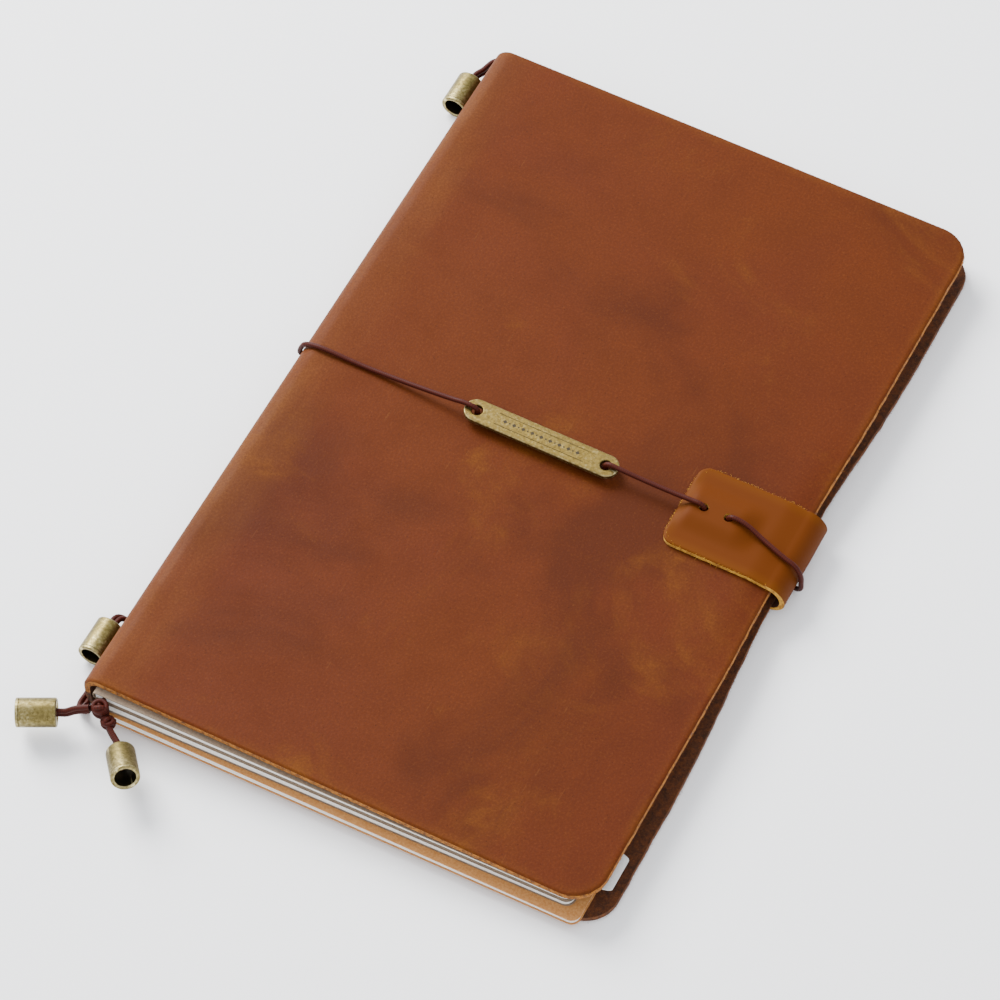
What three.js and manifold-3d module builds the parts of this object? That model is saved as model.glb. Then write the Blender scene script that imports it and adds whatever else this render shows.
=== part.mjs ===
// A closed leather notebook cover with three paper inserts, an elastic closure and brass cord beads.
// Millimetres, +Z up. X runs from the spine to the fore edge, Y from the near end to the far end.
import * as THREE from "three";
import { mergeVertices } from "three/addons/utils/BufferGeometryUtils.js";
import Module from "manifold-3d";

// ---- cover leather
const coverHeight = 225;
const frontLength = 142;
const backOverhang = 3;
const backTaper = 2.2;
const leather = 2;
const spineThickness = 14;
const foreThickness = 10.6;
const bendRadius = 5;
const coverCorner = 9;
const foldGap = 0.3;

// ---- inserts: folded booklets in kraft covers
const insertCount = 3;
const insertSetback = 2.7;
const insertHeight = 210;
const insertProtrusion = 2.5;
const upperShift = 3;
const upperShorter = 2.9;
const insertCorner = 2.5;
const kraft = 0.3;
const sheetGap = 0.05;
const spineGap = 2.9;

// ---- elastics
const insertCord = 1.2;
const tunnelClearance = 0.2;
const tunnelSetback = 2;
const closureCord = 1.4;
const cordGap = 0.2;

// ---- closure strap and brass tag
const strapWidth = 25.5;
const strapLeather = 1.4;
const strapSkived = 0.8;
const strapReach = 32;
const strapUnderReach = 14;
const strapHole = 2.9;
const strapHoleSpacing = 6.9;
const strapHoleSetback = 6.4;
const closureY = 2;
const tagLength = 44;
const tagWidth = 6.8;
const tagThickness = 1.4;
const tagHole = 3;
const tagHoleSpacing = 37;
const tagToStrap = 18;

// ---- beads and knots
const beadDiameter = 7.5;
const beadLength = 10.3;
const beadBore = 5.4;
const beadCap = 2;
const beadCordHole = 4.6;
const strandDiameter = 1.5;
const strandSpacing = 1.65;
const knotDiameter = 4.6;

// ---- index divider and clear pocket
const dividerThickness = 0.25;
const tabLength = 12;
const tabReach = 7.3;
const pocketThickness = 0.2;

const nearEnd = -coverHeight / 2;
const farEnd = coverHeight / 2;
const insertNear = nearEnd - insertProtrusion;
const insertFar = insertNear + insertHeight;
const insertFold = leather + spineGap;
const insertFore = frontLength - insertSetback;
const upperNear = insertNear + upperShift;
const upperFar = insertFar + upperShift;
const upperFore = insertFore - upperShorter;
const cordRadius = closureCord / 2;
const underCordZ = cordRadius + 0.1;
const ridgeHeight = underCordZ + cordRadius + cordGap / 2;
const strapUnderZ = ridgeHeight;
const strapLift = strapUnderZ + strapSkived + cordGap * 0.75;
const strapStart = frontLength - strapReach;
const tagStart = strapStart - tagToStrap - tagLength;
const backLength = frontLength + backOverhang;
const edgeDip = 1;
const edgeDipReach = 8;
const pressedDepth = 4.2;
const strapInfluence = 46;
const ridgeReach = 30;
const flapRise = 13;
const dividerInset = 0.6;
const tabCorner = 1.2;
const tabStartFromEnd = 7.2;
const sheetFoldInset = 0.6;
const pocketInset = 0.3;
const frontPullIn = 1;
const backPullIn = 2.5;

const wasm = await Module();
wasm.setup();

const finish = {
  leather: new THREE.MeshStandardMaterial({ color: 0x8a4a2c, roughness: 0.55 }),
  strap: new THREE.MeshStandardMaterial({ color: 0xa8682e, roughness: 0.6 }),
  kraft: new THREE.MeshStandardMaterial({ color: 0xb98a55, roughness: 0.9 }),
  paper: new THREE.MeshStandardMaterial({ color: 0xf1ede2, roughness: 0.95 }),
  cord: new THREE.MeshStandardMaterial({ color: 0x4a2416, roughness: 0.7 }),
  brass: new THREE.MeshStandardMaterial({ color: 0x9c8a55, roughness: 0.4, metalness: 1 }),
  board: new THREE.MeshStandardMaterial({ color: 0xc9c6be, roughness: 0.8 }),
  film: new THREE.MeshStandardMaterial({ color: 0xe8eef2, roughness: 0.2, opacity: 0.4, transparent: true }),
};

const model = new THREE.Group();

function place(name, geometry, material) {
  const mesh = new THREE.Mesh(geometry, material.clone());
  mesh.name = name;
  model.add(mesh);
  return mesh;
}

// ---- booleans
function toSolid(geometry) {
  const bare = geometry.clone();
  bare.deleteAttribute("normal");
  bare.deleteAttribute("uv");
  const merged = mergeVertices(bare, 1e-4);
  return new wasm.Manifold(
    new wasm.Mesh({
      numProp: 3,
      vertProperties: merged.attributes.position.array,
      triVerts: new Uint32Array(merged.index.array),
    }),
  );
}

function toGeometry(solid) {
  const mesh = solid.getMesh();
  const geometry = new THREE.BufferGeometry();
  geometry.setAttribute("position", new THREE.BufferAttribute(mesh.vertProperties, 3));
  geometry.setIndex(new THREE.BufferAttribute(mesh.triVerts, 1));
  geometry.computeVertexNormals();
  return geometry;
}

function cut(geometry, tools) {
  return toGeometry(tools.reduce((rest, tool) => rest.subtract(toSolid(tool)), toSolid(geometry)));
}

function join(geometries) {
  return toGeometry(geometries.map(toSolid).reduce((sum, next) => sum.add(next)));
}

// ---- shape of the closed stack
const smooth = (value, from, to) => THREE.MathUtils.smoothstep(value, from, to);

// 1 within the flat half width of the closure's line, 0 beyond the outer half width.
function besideClosure(y, flatHalf, outerHalf) {
  return 1 - smooth(Math.abs(y - closureY), flatHalf, outerHalf);
}

function dip(x, y) {
  const along = smooth(x, frontLength - edgeDipReach, frontLength);
  return edgeDip * along * besideClosure(y, strapWidth / 2, strapInfluence);
}

function frontTop(x, y) {
  const along = (x - bendRadius) / (frontLength - bendRadius);
  return spineThickness - (spineThickness - foreThickness) * Math.max(along, 0) - dip(x, y);
}

// How far the underside rises to leave room for the elastic and for the strap's lower leg.
function lift(x, y) {
  const ridge = ridgeHeight * besideClosure(y, closureCord, ridgeReach);
  const flapEnd = frontLength - strapUnderReach - 1;
  const underStrap = smooth(x, flapEnd - flapRise, flapEnd);
  const flap = strapLift * underStrap * besideClosure(y, strapWidth / 2 + 0.6, strapInfluence);
  return Math.max(ridge, flap);
}

const upperBendZ = spineThickness - bendRadius;
const raised = (x, y, z) => z + lift(x, y) * Math.max(1 - z / pressedDepth, 0);
const backTop = (x, y) => raised(x, y, leather);
const frontBottom = (x, y) => frontTop(x, y) - leather;

function layer(fraction, x, y) {
  return THREE.MathUtils.lerp(backTop(x, y), frontBottom(x, y), fraction);
}

// ---- lofts: one closed outline in X and Z for each row of Y. The outline goes out along one face and comes
// back along the other with as many points, so strips between the two close its ends. Both faces are split
// along the same diagonals, which keeps stacked sheets parallel.
const cornerSteps = 3;
const closureRows = [-46, -26, -13.4, -5, -1.5, 1.5, 5, 13.4, 26, 46];
const stationX = [20, ...[34, 25, 16, 10, 7.5, 5.4, 3].map((step) => frontLength - step)];

function rowsBetween(near, far, corner) {
  const rows = closureRows.map((offset) => closureY + offset);
  for (let step = 0; step <= cornerSteps; step++) {
    const inset = corner * (1 - Math.sin((step / cornerSteps) * (Math.PI / 2)));
    rows.push(near + inset, far - inset);
  }
  return rows.sort((a, b) => a - b);
}

// The fore edge's X at a row, with both fore corners rounded.
function foreEdge(y, near, far, fore, corner) {
  const past = Math.max(near + corner - y, y - (far - corner), 0);
  return fore - corner + Math.sqrt(Math.max(corner ** 2 - past ** 2, 0));
}

// Stations from the spine side to the fore edge, drawn together where a corner cuts them short.
function stations(edge, fore) {
  const inner = stationX.filter((x) => x < fore - 1);
  const from = 126;
  const scale = edge < inner.at(-1) + 1 ? (edge - from) / (fore - from) : 1;
  return [...inner.map((x) => (x > from ? from + (x - from) * scale : x)), edge];
}

function loft(outlineAt, rows) {
  const outlines = rows.map(outlineAt);
  const count = outlines[0].length;
  const positions = [];
  outlines.forEach((outline, row) => {
    outline.forEach(([x, z]) => positions.push(x, rows[row], z));
  });
  const index = [];
  for (let row = 0; row + 1 < rows.length; row++) {
    for (let point = 0; point < count; point++) {
      const next = (point + 1) % count;
      const a = row * count + point;
      const b = row * count + next;
      const [c, d] = [a + count, b + count];
      const outward = outlines[row][point][0] < outlines[row][next][0];
      index.push(...(outward ? [a, b, d, a, d, c] : [a, b, c, b, d, c]));
    }
  }
  const last = (rows.length - 1) * count;
  for (let point = 0; point < count / 2 - 1; point++) {
    const corners = [point, point + 1, count - 2 - point, count - 1 - point];
    const [a, b, c, d] = corners;
    index.push(c, b, a, d, c, a);
    const [e, f, g, h] = corners.map((corner) => last + corner);
    index.push(e, f, g, e, g, h);
  }
  const geometry = new THREE.BufferGeometry();
  geometry.setAttribute("position", new THREE.Float32BufferAttribute(positions, 3));
  geometry.setIndex(index);
  return facingOut(geometry);
}

function facingOut(geometry) {
  if (toSolid(geometry).volume() < 0) {
    const index = geometry.index.array;
    for (let i = 0; i < index.length; i += 3) {
      [index[i + 1], index[i + 2]] = [index[i + 2], index[i + 1]];
    }
  }
  geometry.computeVertexNormals();
  return geometry;
}

function arc(centreX, centreZ, radius, fromDegrees, toDegrees, steps) {
  return Array.from({ length: steps + 1 }, (_, i) => {
    const angle = THREE.MathUtils.degToRad(THREE.MathUtils.lerp(fromDegrees, toDegrees, i / steps));
    return [centreX + radius * Math.cos(angle), centreZ + radius * Math.sin(angle)];
  });
}

// ---- leather cover: one hide, parted at the two fold lines of the spine
const innerBend = bendRadius - leather;
const gapDegrees = THREE.MathUtils.radToDeg(foldGap / 2 / bendRadius);
const coverRows = rowsBetween(nearEnd, farEnd, coverCorner);

function frontOutline(y) {
  const pulled = frontPullIn * besideClosure(y, strapWidth / 2, strapInfluence);
  const edge = foreEdge(y, nearEnd, farEnd, frontLength, coverCorner) - pulled;
  const xs = stations(edge, frontLength);
  const bend = [135 - gapDegrees, 90, 3];
  return [
    ...arc(bendRadius, upperBendZ, bendRadius, ...bend),
    ...xs.map((x) => [x, frontTop(x, y)]),
    ...xs.toReversed().map((x) => [x, frontBottom(x, y)]),
    ...arc(bendRadius, upperBendZ, innerBend, ...bend).toReversed(),
  ];
}

function backOutline(y) {
  const pulled = backPullIn * besideClosure(y, strapWidth / 2, strapInfluence);
  const tapered = (backTaper * (y - nearEnd)) / coverHeight;
  const edge = foreEdge(y, nearEnd, farEnd, backLength, coverCorner) - pulled - tapered;
  const xs = stations(edge, backLength);
  const bend = [225 + gapDegrees, 270, 3];
  return [
    ...arc(bendRadius, bendRadius, bendRadius, ...bend),
    ...xs.map((x) => [x, 0]),
    ...xs.toReversed().map((x) => [x, leather]),
    ...arc(bendRadius, bendRadius, innerBend, ...bend).toReversed(),
  ].map(([x, z]) => [x, raised(x, y, z)]);
}

function spineOutline(y) {
  const lower = [225 - gapDegrees, 180, 3];
  const upper = [180, 135 + gapDegrees, 3];
  return [
    ...arc(bendRadius, bendRadius, bendRadius, ...lower),
    ...arc(bendRadius, upperBendZ, bendRadius, ...upper),
    ...arc(bendRadius, upperBendZ, innerBend, ...upper).toReversed(),
    ...arc(bendRadius, bendRadius, innerBend, ...lower).toReversed(),
  ].map(([x, z]) => [x, raised(x, y, z)]);
}

// A round tool along X, Y or Z for a hole.
function drill(diameter, length, centre, axis) {
  const tool = new THREE.CylinderGeometry(diameter / 2, diameter / 2, length, 20);
  if (axis === "x") tool.rotateZ(Math.PI / 2);
  if (axis === "z") tool.rotateX(Math.PI / 2);
  return tool.translate(...centre);
}

const closureHoleZ = spineThickness / 2;

place("front_cover", loft(frontOutline, coverRows), finish.leather);
place("back_cover", loft(backOutline, coverRows), finish.leather);
place(
  "spine_leather",
  cut(loft(spineOutline, coverRows), [
    drill(closureCord * 2 + 1.2, 8, [1, closureY, closureHoleZ], "x"),
  ]),
  finish.leather,
);

// ---- inserts
// The lowest insert reaches furthest out at the near end and the fore edge.
const lowest = { near: insertNear, far: insertFar, fore: insertFore };
const upper = { near: upperNear, far: upperFar, fore: upperFore };
const extent = (number) => (number === insertCount ? lowest : upper);

// Insert 1 lies on top, with the divider under it and the clear pocket over it.
function insertBounds(number, inset) {
  const low = (insertCount - number) / insertCount;
  const high = (insertCount - number + 1) / insertCount;
  const below = sheetGap + inset + (number === 1 ? dividerThickness + 2 * sheetGap : 0);
  const above = sheetGap + inset + (number === 1 ? pocketThickness + 2 * sheetGap : 0);
  return {
    bottom: (x, y) => layer(low, x, y) + below,
    top: (x, y) => layer(high, x, y) - above,
  };
}

function insertStations(number, y, start) {
  const { near, far, fore } = extent(number);
  return [start, ...stations(foreEdge(y, near, far, fore, insertCorner), fore)];
}

function coverSheetOutline(number, y) {
  const outer = insertBounds(number, 0);
  const inner = insertBounds(number, kraft);
  const outerX = insertStations(number, y, insertFold);
  const innerX = insertStations(number, y, insertFold + kraft);
  return [
    ...outerX.toReversed().map((x) => [x, outer.bottom(x, y)]),
    ...outerX.map((x) => [x, outer.top(x, y)]),
    ...innerX.toReversed().map((x) => [x, inner.top(x, y)]),
    ...innerX.map((x) => [x, inner.bottom(x, y)]),
  ];
}

function pagesOutline(number, y) {
  const page = insertBounds(number, kraft + sheetGap);
  const xs = insertStations(number, y, insertFold + kraft + sheetGap);
  return [
    ...xs.map((x) => [x, page.bottom(x, y)]),
    ...xs.toReversed().map((x) => [x, page.top(x, y)]),
  ];
}

// The cord tunnel's height inside an insert, which dips with the stack near the closure.
const tunnelX = insertFold + kraft + tunnelSetback;
const tunnelZ = (number) => {
  const page = insertBounds(number, 0);
  const at = [nearEnd, closureY].map((y) => (page.bottom(tunnelX, y) + page.top(tunnelX, y)) / 2);
  return (at[0] + at[1]) / 2;
};

for (let number = 1; number <= insertCount; number++) {
  const { near, far } = extent(number);
  const insertRows = rowsBetween(near, far, insertCorner);
  place(`insert_${number}_cover`, loft((y) => coverSheetOutline(number, y), insertRows), finish.kraft);
  const tunnel = drill(
    insertCord + 2 * tunnelClearance,
    insertHeight + 20,
    [tunnelX, (near + far) / 2, tunnelZ(number)],
    "y",
  );
  const pages = loft((y) => pagesOutline(number, y), insertRows);
  place(`insert_${number}_pages`, cut(pages, [tunnel]), finish.paper);
}

// ---- divider with an index tab, and the clear pocket
function thinSheet(low, high, near, far, start, edgeAt, fore) {
  const rows = rowsBetween(near, far, insertCorner);
  const outline = (y) => {
    const xs = [start, ...stations(edgeAt(y), fore)];
    return [...xs.map((x) => [x, low(x, y)]), ...xs.toReversed().map((x) => [x, high(x, y)])];
  };
  return { rows, outline };
}

const dividerLow = (x, y) => layer((insertCount - 1) / insertCount, x, y) + 2 * sheetGap;
const dividerNear = upperNear + dividerInset;
const dividerFar = upperFar - dividerInset;
const dividerFore = upperFore - 0.2;
const tabNear = nearEnd + tabStartFromEnd;
const tabFar = tabNear + tabLength;
const divider = thinSheet(
  dividerLow,
  (x, y) => dividerLow(x, y) + dividerThickness,
  dividerNear,
  dividerFar,
  insertFold + sheetFoldInset,
  (y) => {
    const tab = tabReach * smooth(y, tabNear, tabNear + tabCorner) * (1 - smooth(y, tabFar - tabCorner, tabFar));
    return foreEdge(y, dividerNear, dividerFar, dividerFore, insertCorner) + tab;
  },
  dividerFore,
);
const tabSteps = [0, tabCorner / 2, tabCorner];
const tabRows = [...tabSteps.map((d) => tabNear + d), ...tabSteps.map((d) => tabFar - d)];
const dividerRows = [...divider.rows, ...tabRows].sort((a, b) => a - b);
place("index_divider", loft(divider.outline, dividerRows), finish.board);

const pocketHigh = (x, y) => frontBottom(x, y) - sheetGap;
const pocketNear = upperNear + pocketInset;
const pocketFar = upperFar - pocketInset;
const pocketFore = upperFore + 0.4;
const pocket = thinSheet(
  (x, y) => pocketHigh(x, y) - pocketThickness,
  pocketHigh,
  pocketNear,
  pocketFar,
  insertFold + sheetFoldInset,
  (y) => foreEdge(y, pocketNear, pocketFar, pocketFore, insertCorner),
  pocketFore,
);
place("clear_pocket", loft(pocket.outline, pocket.rows), finish.film);

// ---- cords: a round section swept along a smooth curve through points chosen by hand
function cord(points, diameter, steps) {
  const curve = new THREE.CatmullRomCurve3(points.map((p) => new THREE.Vector3(...p)), false, "centripetal");
  const section = new THREE.Shape();
  section.absarc(0, 0, diameter / 2, 0, 2 * Math.PI);
  return new THREE.ExtrudeGeometry(section, {
    steps,
    curveSegments: 4,
    extrudePath: curve,
  });
}

const knotX = tunnelX;
const knotZ = 9;
const hangingZ = 6.9;
const nearKnotY = insertNear - 1.4;
const farKnotY = farEnd - 1.5;

// The upper two elastics end beside the knots, and the lowest one passes under them.
for (let number = 1; number <= insertCount; number++) {
  const z = tunnelZ(number);
  const stop = number === insertCount ? 0 : knotDiameter / 2 + 0.4;
  const route = [
    [tunnelX, nearKnotY + stop, z],
    [tunnelX, farKnotY - stop, z],
  ];
  place(`insert_elastic_${number}`, cord(route, insertCord, 2), finish.cord);
}

function knot(name, centre, widths) {
  const ball = new THREE.SphereGeometry(0.5, 12, 8).scale(...widths).translate(...centre);
  place(name, ball, finish.cord);
}

knot("spine_knot_near", [knotX, nearKnotY, knotZ], [knotDiameter, knotDiameter, knotDiameter]);
knot("spine_knot_far", [knotX, farKnotY, knotZ], [knotDiameter, knotDiameter, knotDiameter]);
knot("closure_knot", [leather + spineGap / 2, closureY, closureHoleZ], [spineGap - 0.6, 5, 5]);

// ---- closure: a point over the front cover is given by X, Y and its height above the leather
const over = (x, y, height) => [x, y, frontTop(x, y) + height];
const onLeather = cordRadius + cordGap;
const tagLift = closureCord + 2 * cordGap;
const overTag = tagLift + tagThickness + onLeather;
const tagCentre = tagStart + tagLength / 2;
const tagHoleA = tagCentre - tagHoleSpacing / 2;
const tagHoleB = tagCentre + tagHoleSpacing / 2;
const strapHoleA = strapStart + strapHoleSetback;
const strapHoleB = strapHoleA + strapHoleSpacing;
const strapLow = cordGap;
const strapHigh = closureCord + 2 * cordGap;
const upperStrandZ = closureHoleZ + cordRadius + 0.1;
const lowerStrandZ = closureHoleZ - cordRadius - 0.1;
const besideSpine = -cordRadius - cordGap;
const rootEnd = 14;

const spineUpRoute = [
  [1.7, closureY, upperStrandZ],
  [0.6, closureY, upperStrandZ + 0.1],
  [besideSpine, closureY, upperStrandZ + 1.1],
  [besideSpine + 0.7, closureY, 11.6],
  [1.1, closureY, 13.5],
  [bendRadius, closureY, spineThickness + onLeather],
  over(rootEnd, closureY, onLeather),
];
place("closure_cord_spine_up", cord(spineUpRoute, closureCord, 18), finish.cord);

const spineDownRoute = [
  [1.7, closureY, lowerStrandZ],
  [0.6, closureY, lowerStrandZ - 0.1],
  [besideSpine, closureY, lowerStrandZ - 1.0],
  [besideSpine + 0.5, closureY, 3.4],
  [0.9, closureY, 1.7],
  [3, closureY, underCordZ + 0.1],
  [rootEnd, closureY, underCordZ],
];
place("closure_cord_spine_down", cord(spineDownRoute, closureCord, 18), finish.cord);

const toTagRun = tagStart - rootEnd;
const toTagRoute = [
  over(rootEnd + 0.3, closureY, onLeather),
  over(tagStart - toTagRun * 0.412, closureY, onLeather),
  over(tagStart - toTagRun * 0.235, closureY, onLeather + 0.05),
  over(tagStart - toTagRun * 0.176, closureY, onLeather + 0.2),
  over(tagStart - toTagRun * 0.094, closureY, 2.2),
  over(tagStart - 0.4, closureY, overTag),
  over(tagHoleA - 1, closureY, overTag),
  over(tagHoleA, closureY, tagLift + tagThickness),
  over(tagHoleA, closureY, tagLift - 0.1),
  over(tagHoleA + 1.2, closureY, onLeather + 0.05),
  over(tagHoleA + 4, closureY, onLeather),
  over(tagCentre - 0.2, closureY, onLeather),
];
place("closure_cord_tag", cord(toTagRoute, closureCord, 40), finish.cord);

const toStrapRoute = [
  over(tagCentre + 0.2, closureY, onLeather),
  over(tagHoleB - 4, closureY, onLeather),
  over(tagHoleB - 1.2, closureY, onLeather + 0.05),
  over(tagHoleB, closureY, tagLift - 0.1),
  over(tagHoleB, closureY, tagLift + tagThickness),
  over(tagHoleB + 1, closureY, overTag),
  over(tagStart + tagLength + 0.4, closureY, overTag),
  over(tagStart + tagLength + 3.2, closureY, 2.2),
  over(tagStart + tagLength + 6, closureY, onLeather + 0.2),
  over(tagStart + tagLength + 9, closureY, onLeather + 0.05),
  over(strapStart - 5.4, closureY, onLeather + 0.05),
  over(strapStart - 3.4, closureY, onLeather + 0.2),
  over(strapStart - 0.6, closureY, strapLow + strapLeather + onLeather),
  over(strapStart + 3, closureY, strapHigh + strapLeather + onLeather),
  over(strapHoleA - 0.9, closureY, strapHigh + strapLeather + onLeather),
  over(strapHoleA, closureY, strapHigh + strapLeather - 0.2),
  over(strapHoleA, closureY, strapHigh - 0.2),
  over(strapHoleA + 1.2, closureY, onLeather + 0.05),
  over(strapHoleA + strapHoleSpacing / 2 - 0.2, closureY, onLeather),
];
place("closure_cord_strap", cord(toStrapRoute, closureCord, 52), finish.cord);

// The fore end of the closure, where the strap bends round both covers.
const strapBendStart = frontLength - frontPullIn + 0.3;
const strapBendReach = 1.9;
const outside = strapBendStart + strapBendReach + strapLeather + cordGap + cordRadius;
const topOfStrap = strapLow + strapLeather + onLeather;
const underRoute = [
  over(strapHoleA + strapHoleSpacing / 2 + 0.2, closureY, onLeather),
  over(strapHoleB - 1.2, closureY, onLeather + 0.05),
  over(strapHoleB, closureY, strapHigh - 0.2),
  over(strapHoleB, closureY, strapHigh + strapLeather - 0.2),
  over(strapHoleB + 0.9, closureY, strapHigh + strapLeather + onLeather),
  over(strapHoleB + 3.5, closureY, strapHigh + strapLeather + onLeather),
  over(strapHoleB + 6.2, closureY - 0.4, topOfStrap + 1.15),
  over(strapHoleB + 9.6, closureY - 1.3, topOfStrap + 0.3),
  over(frontLength - 2, closureY - 3.4, topOfStrap + 0.3),
  [frontLength + 1.4, closureY - 4.2, 11.5],
  [outside - 0.2, closureY - 4.7, 9.2],
  [outside + 0.1, closureY - 4.8, 6],
  [outside - 0.2, closureY - 4.4, 3],
  [outside - 2, closureY - 3.6, underCordZ + 0.15],
  [outside - 6, closureY - 2.4, underCordZ],
  [outside - 20, closureY - 0.3, underCordZ],
  [outside - 30, closureY, underCordZ],
  [rootEnd + 0.3, closureY, underCordZ],
];
place("closure_cord_under", cord(underRoute, closureCord, 56), finish.cord);

// ---- strap: one leather strip bent round the fore edges
const strapNear = closureY - strapWidth / 2;
const strapRows = [0, 0.12, 0.22, 0.34, 0.45, 0.55, 0.66, 0.78, 0.88, 1].map((t) => strapNear + t * strapWidth);

function strapUnderside(x, y) {
  const overHoles = smooth(x, strapStart, strapStart + 3.6) * (1 - smooth(x, strapHoleB + 2.4, strapHoleB + 9));
  const bulge = (strapHigh - strapLow) * overHoles * besideClosure(y, 2.4, 8.5);
  return frontTop(x, y) + strapLow + bulge;
}

function strapOutline(y) {
  const xs = [0, 2, 4, 6, 9, 12, 15, 18, 21, 25, 28.6].map((step) => strapStart + step);
  const topZ = strapUnderside(strapBendStart, y);
  const lowZ = strapUnderZ + strapSkived;
  const middle = (topZ + lowZ) / 2;
  const half = (topZ - lowZ) / 2;
  const bend = arc(0, 0, 1, 90, -90, 8);
  const inner = bend.map(([u, v]) => [strapBendStart + u * strapBendReach, middle + v * half]);
  const outer = bend.map(([u, v]) => [
    strapBendStart + u * (strapBendReach + strapLeather),
    middle + v * (half + (v > 0 ? strapLeather : strapSkived)),
  ]);
  const lowEnd = frontLength - strapUnderReach;
  return [
    ...xs.map((x) => [x, strapUnderside(x, y)]),
    ...inner,
    [lowEnd, lowZ],
    [lowEnd, strapUnderZ],
    ...outer.toReversed(),
    ...xs.toReversed().map((x) => [x, strapUnderside(x, y) + strapLeather]),
  ];
}

const strapHoles = [strapHoleA, strapHoleB].map((x) =>
  drill(strapHole, 7, [x, closureY, frontTop(x, closureY) + strapHigh + 2.6], "z"),
);
place("closure_strap", cut(loft(strapOutline, strapRows), strapHoles), finish.strap);

// ---- brass tag
const tagShape = new THREE.Shape();
const tagEnd = tagWidth / 2;
tagShape.absarc(tagLength / 2 - tagEnd, 0, tagEnd, -Math.PI / 2, Math.PI / 2);
tagShape.absarc(tagEnd - tagLength / 2, 0, tagEnd, Math.PI / 2, (3 * Math.PI) / 2);
for (const side of [-1, 1]) {
  const hole = new THREE.Path();
  hole.absarc((side * tagHoleSpacing) / 2, 0, tagHole / 2, 0, 2 * Math.PI, true);
  tagShape.holes.push(hole);
}
const tagMesh = place(
  "brass_tag",
  new THREE.ExtrudeGeometry(tagShape, { depth: tagThickness, bevelEnabled: false, curveSegments: 10 }),
  finish.brass,
);
tagMesh.rotation.y = Math.atan((spineThickness - foreThickness) / (frontLength - bendRadius));
tagMesh.position.set(...over(tagCentre, closureY, tagLift));

// ---- beads: brass tubes with one closed end that the doubled cord passes through
function beadGeometry() {
  const outer = beadDiameter / 2;
  const rim = 0.3;
  const profile = [
    [beadCordHole / 2, 0],
    [outer - rim, 0],
    [outer, rim],
    [outer, beadLength - rim],
    [outer - rim, beadLength],
    [beadBore / 2, beadLength],
    [beadBore / 2, beadCap],
    [beadCordHole / 2, beadCap],
    [beadCordHole / 2, 0],
  ];
  return new THREE.LatheGeometry(profile.map(([r, y]) => new THREE.Vector2(r, y)), 16);
}

// A bead starts at its cord hole and points along a level direction; its two strands lie side by side.
function beadOnStrands(number, start, direction, sideways, route) {
  const along = new THREE.Vector3(...direction).normalize();
  const bead = place(`bead_${number}`, facingOut(beadGeometry()), finish.brass);
  bead.position.set(...start);
  bead.quaternion.setFromUnitVectors(new THREE.Vector3(0, 1, 0), along);
  const into = (distance) => start.map((value, i) => value + along.toArray()[i] * distance);
  const path = [...route, into(0), into(beadCap + 1.2)];
  const strands = [-0.5, 0.5].map((side) =>
    cord(path.map((point) => point.map((v, i) => v + side * strandSpacing * sideways[i])), strandDiameter, 12),
  );
  const ball = new THREE.SphereGeometry(beadBore / 2 - 0.3, 10, 6).translate(...into(beadCap + 2.6));
  place(`bead_${number}_strands`, join([...strands, ball]), finish.cord);
}

const lyingBeadX = -beadDiameter / 2 - 0.9;
const lyingBeadZ = beadDiameter / 2 + 0.05;
const underBendZ = strandDiameter / 2 + 0.12;

// Two beads lie against the spine. The near one's cord runs back under it and turns into its far end.
const farBeadY = farEnd - 6.8;
beadOnStrands(1, [lyingBeadX, farBeadY, lyingBeadZ], [0, -1, 0], [0, 0, 1], [
  [knotX - 1.2, farKnotY + knotDiameter / 2 + 0.8, knotZ],
  [1.6, farEnd + 1.6, 6.2],
  [-1.6, farEnd + 0.6, 5],
  [-3.2, farEnd - 2.6, 4.2],
  [lyingBeadX + 0.2, farBeadY + 2.2, lyingBeadZ],
]);
const nearBeadY = nearEnd + 21.3;
beadOnStrands(2, [lyingBeadX, nearBeadY, lyingBeadZ], [0, -1, 0], [1, 0, 0], [
  [knotX - knotDiameter / 2 - 1.1, nearKnotY + 0.2, knotZ - 1.6],
  [0.6, nearEnd - 2.6, 2],
  [-0.5, nearEnd - 0.6, underBendZ + 0.1],
  [-0.5, nearEnd + 3, underBendZ],
  [-0.5, nearBeadY - 2, underBendZ],
  [-0.7, nearBeadY + 2.4, 1],
  [-2.2, nearBeadY + 4.2, 1.9],
  [lyingBeadX + 0.4, nearBeadY + 3.2, 3.3],
]);

const hangingBeads = [
  { number: 3, start: [-2.7, nearEnd - 8.6], direction: [-0.893, -0.45, 0] },
  { number: 4, start: [17.2, nearEnd - 11.6], direction: [0.59, -0.732, 0.34] },
];
for (const { number, start, direction } of hangingBeads) {
  const away = new THREE.Vector2(start[0] - knotX, start[1] - nearKnotY).normalize();
  const first = knotDiameter / 2 + 0.5;
  beadOnStrands(number, [...start, hangingZ], direction, [0, 0, 1], [
    [knotX + away.x * first, nearKnotY + away.y * first, knotZ],
    [start[0] - direction[0] * 2.2, start[1] - direction[1] * 2.2, hangingZ - direction[2] * 2.2],
  ]);
}

// The frame stands on the lowest face, centred in X and Y.
const box = new THREE.Box3().setFromObject(model);
const centre = box.getCenter(new THREE.Vector3());
model.position.set(-centre.x, -centre.y, -box.min.z);
model.updateMatrixWorld(true);

export default model;
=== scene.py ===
import math
import random

import bpy
from mathutils import Matrix, Vector, noise


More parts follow.
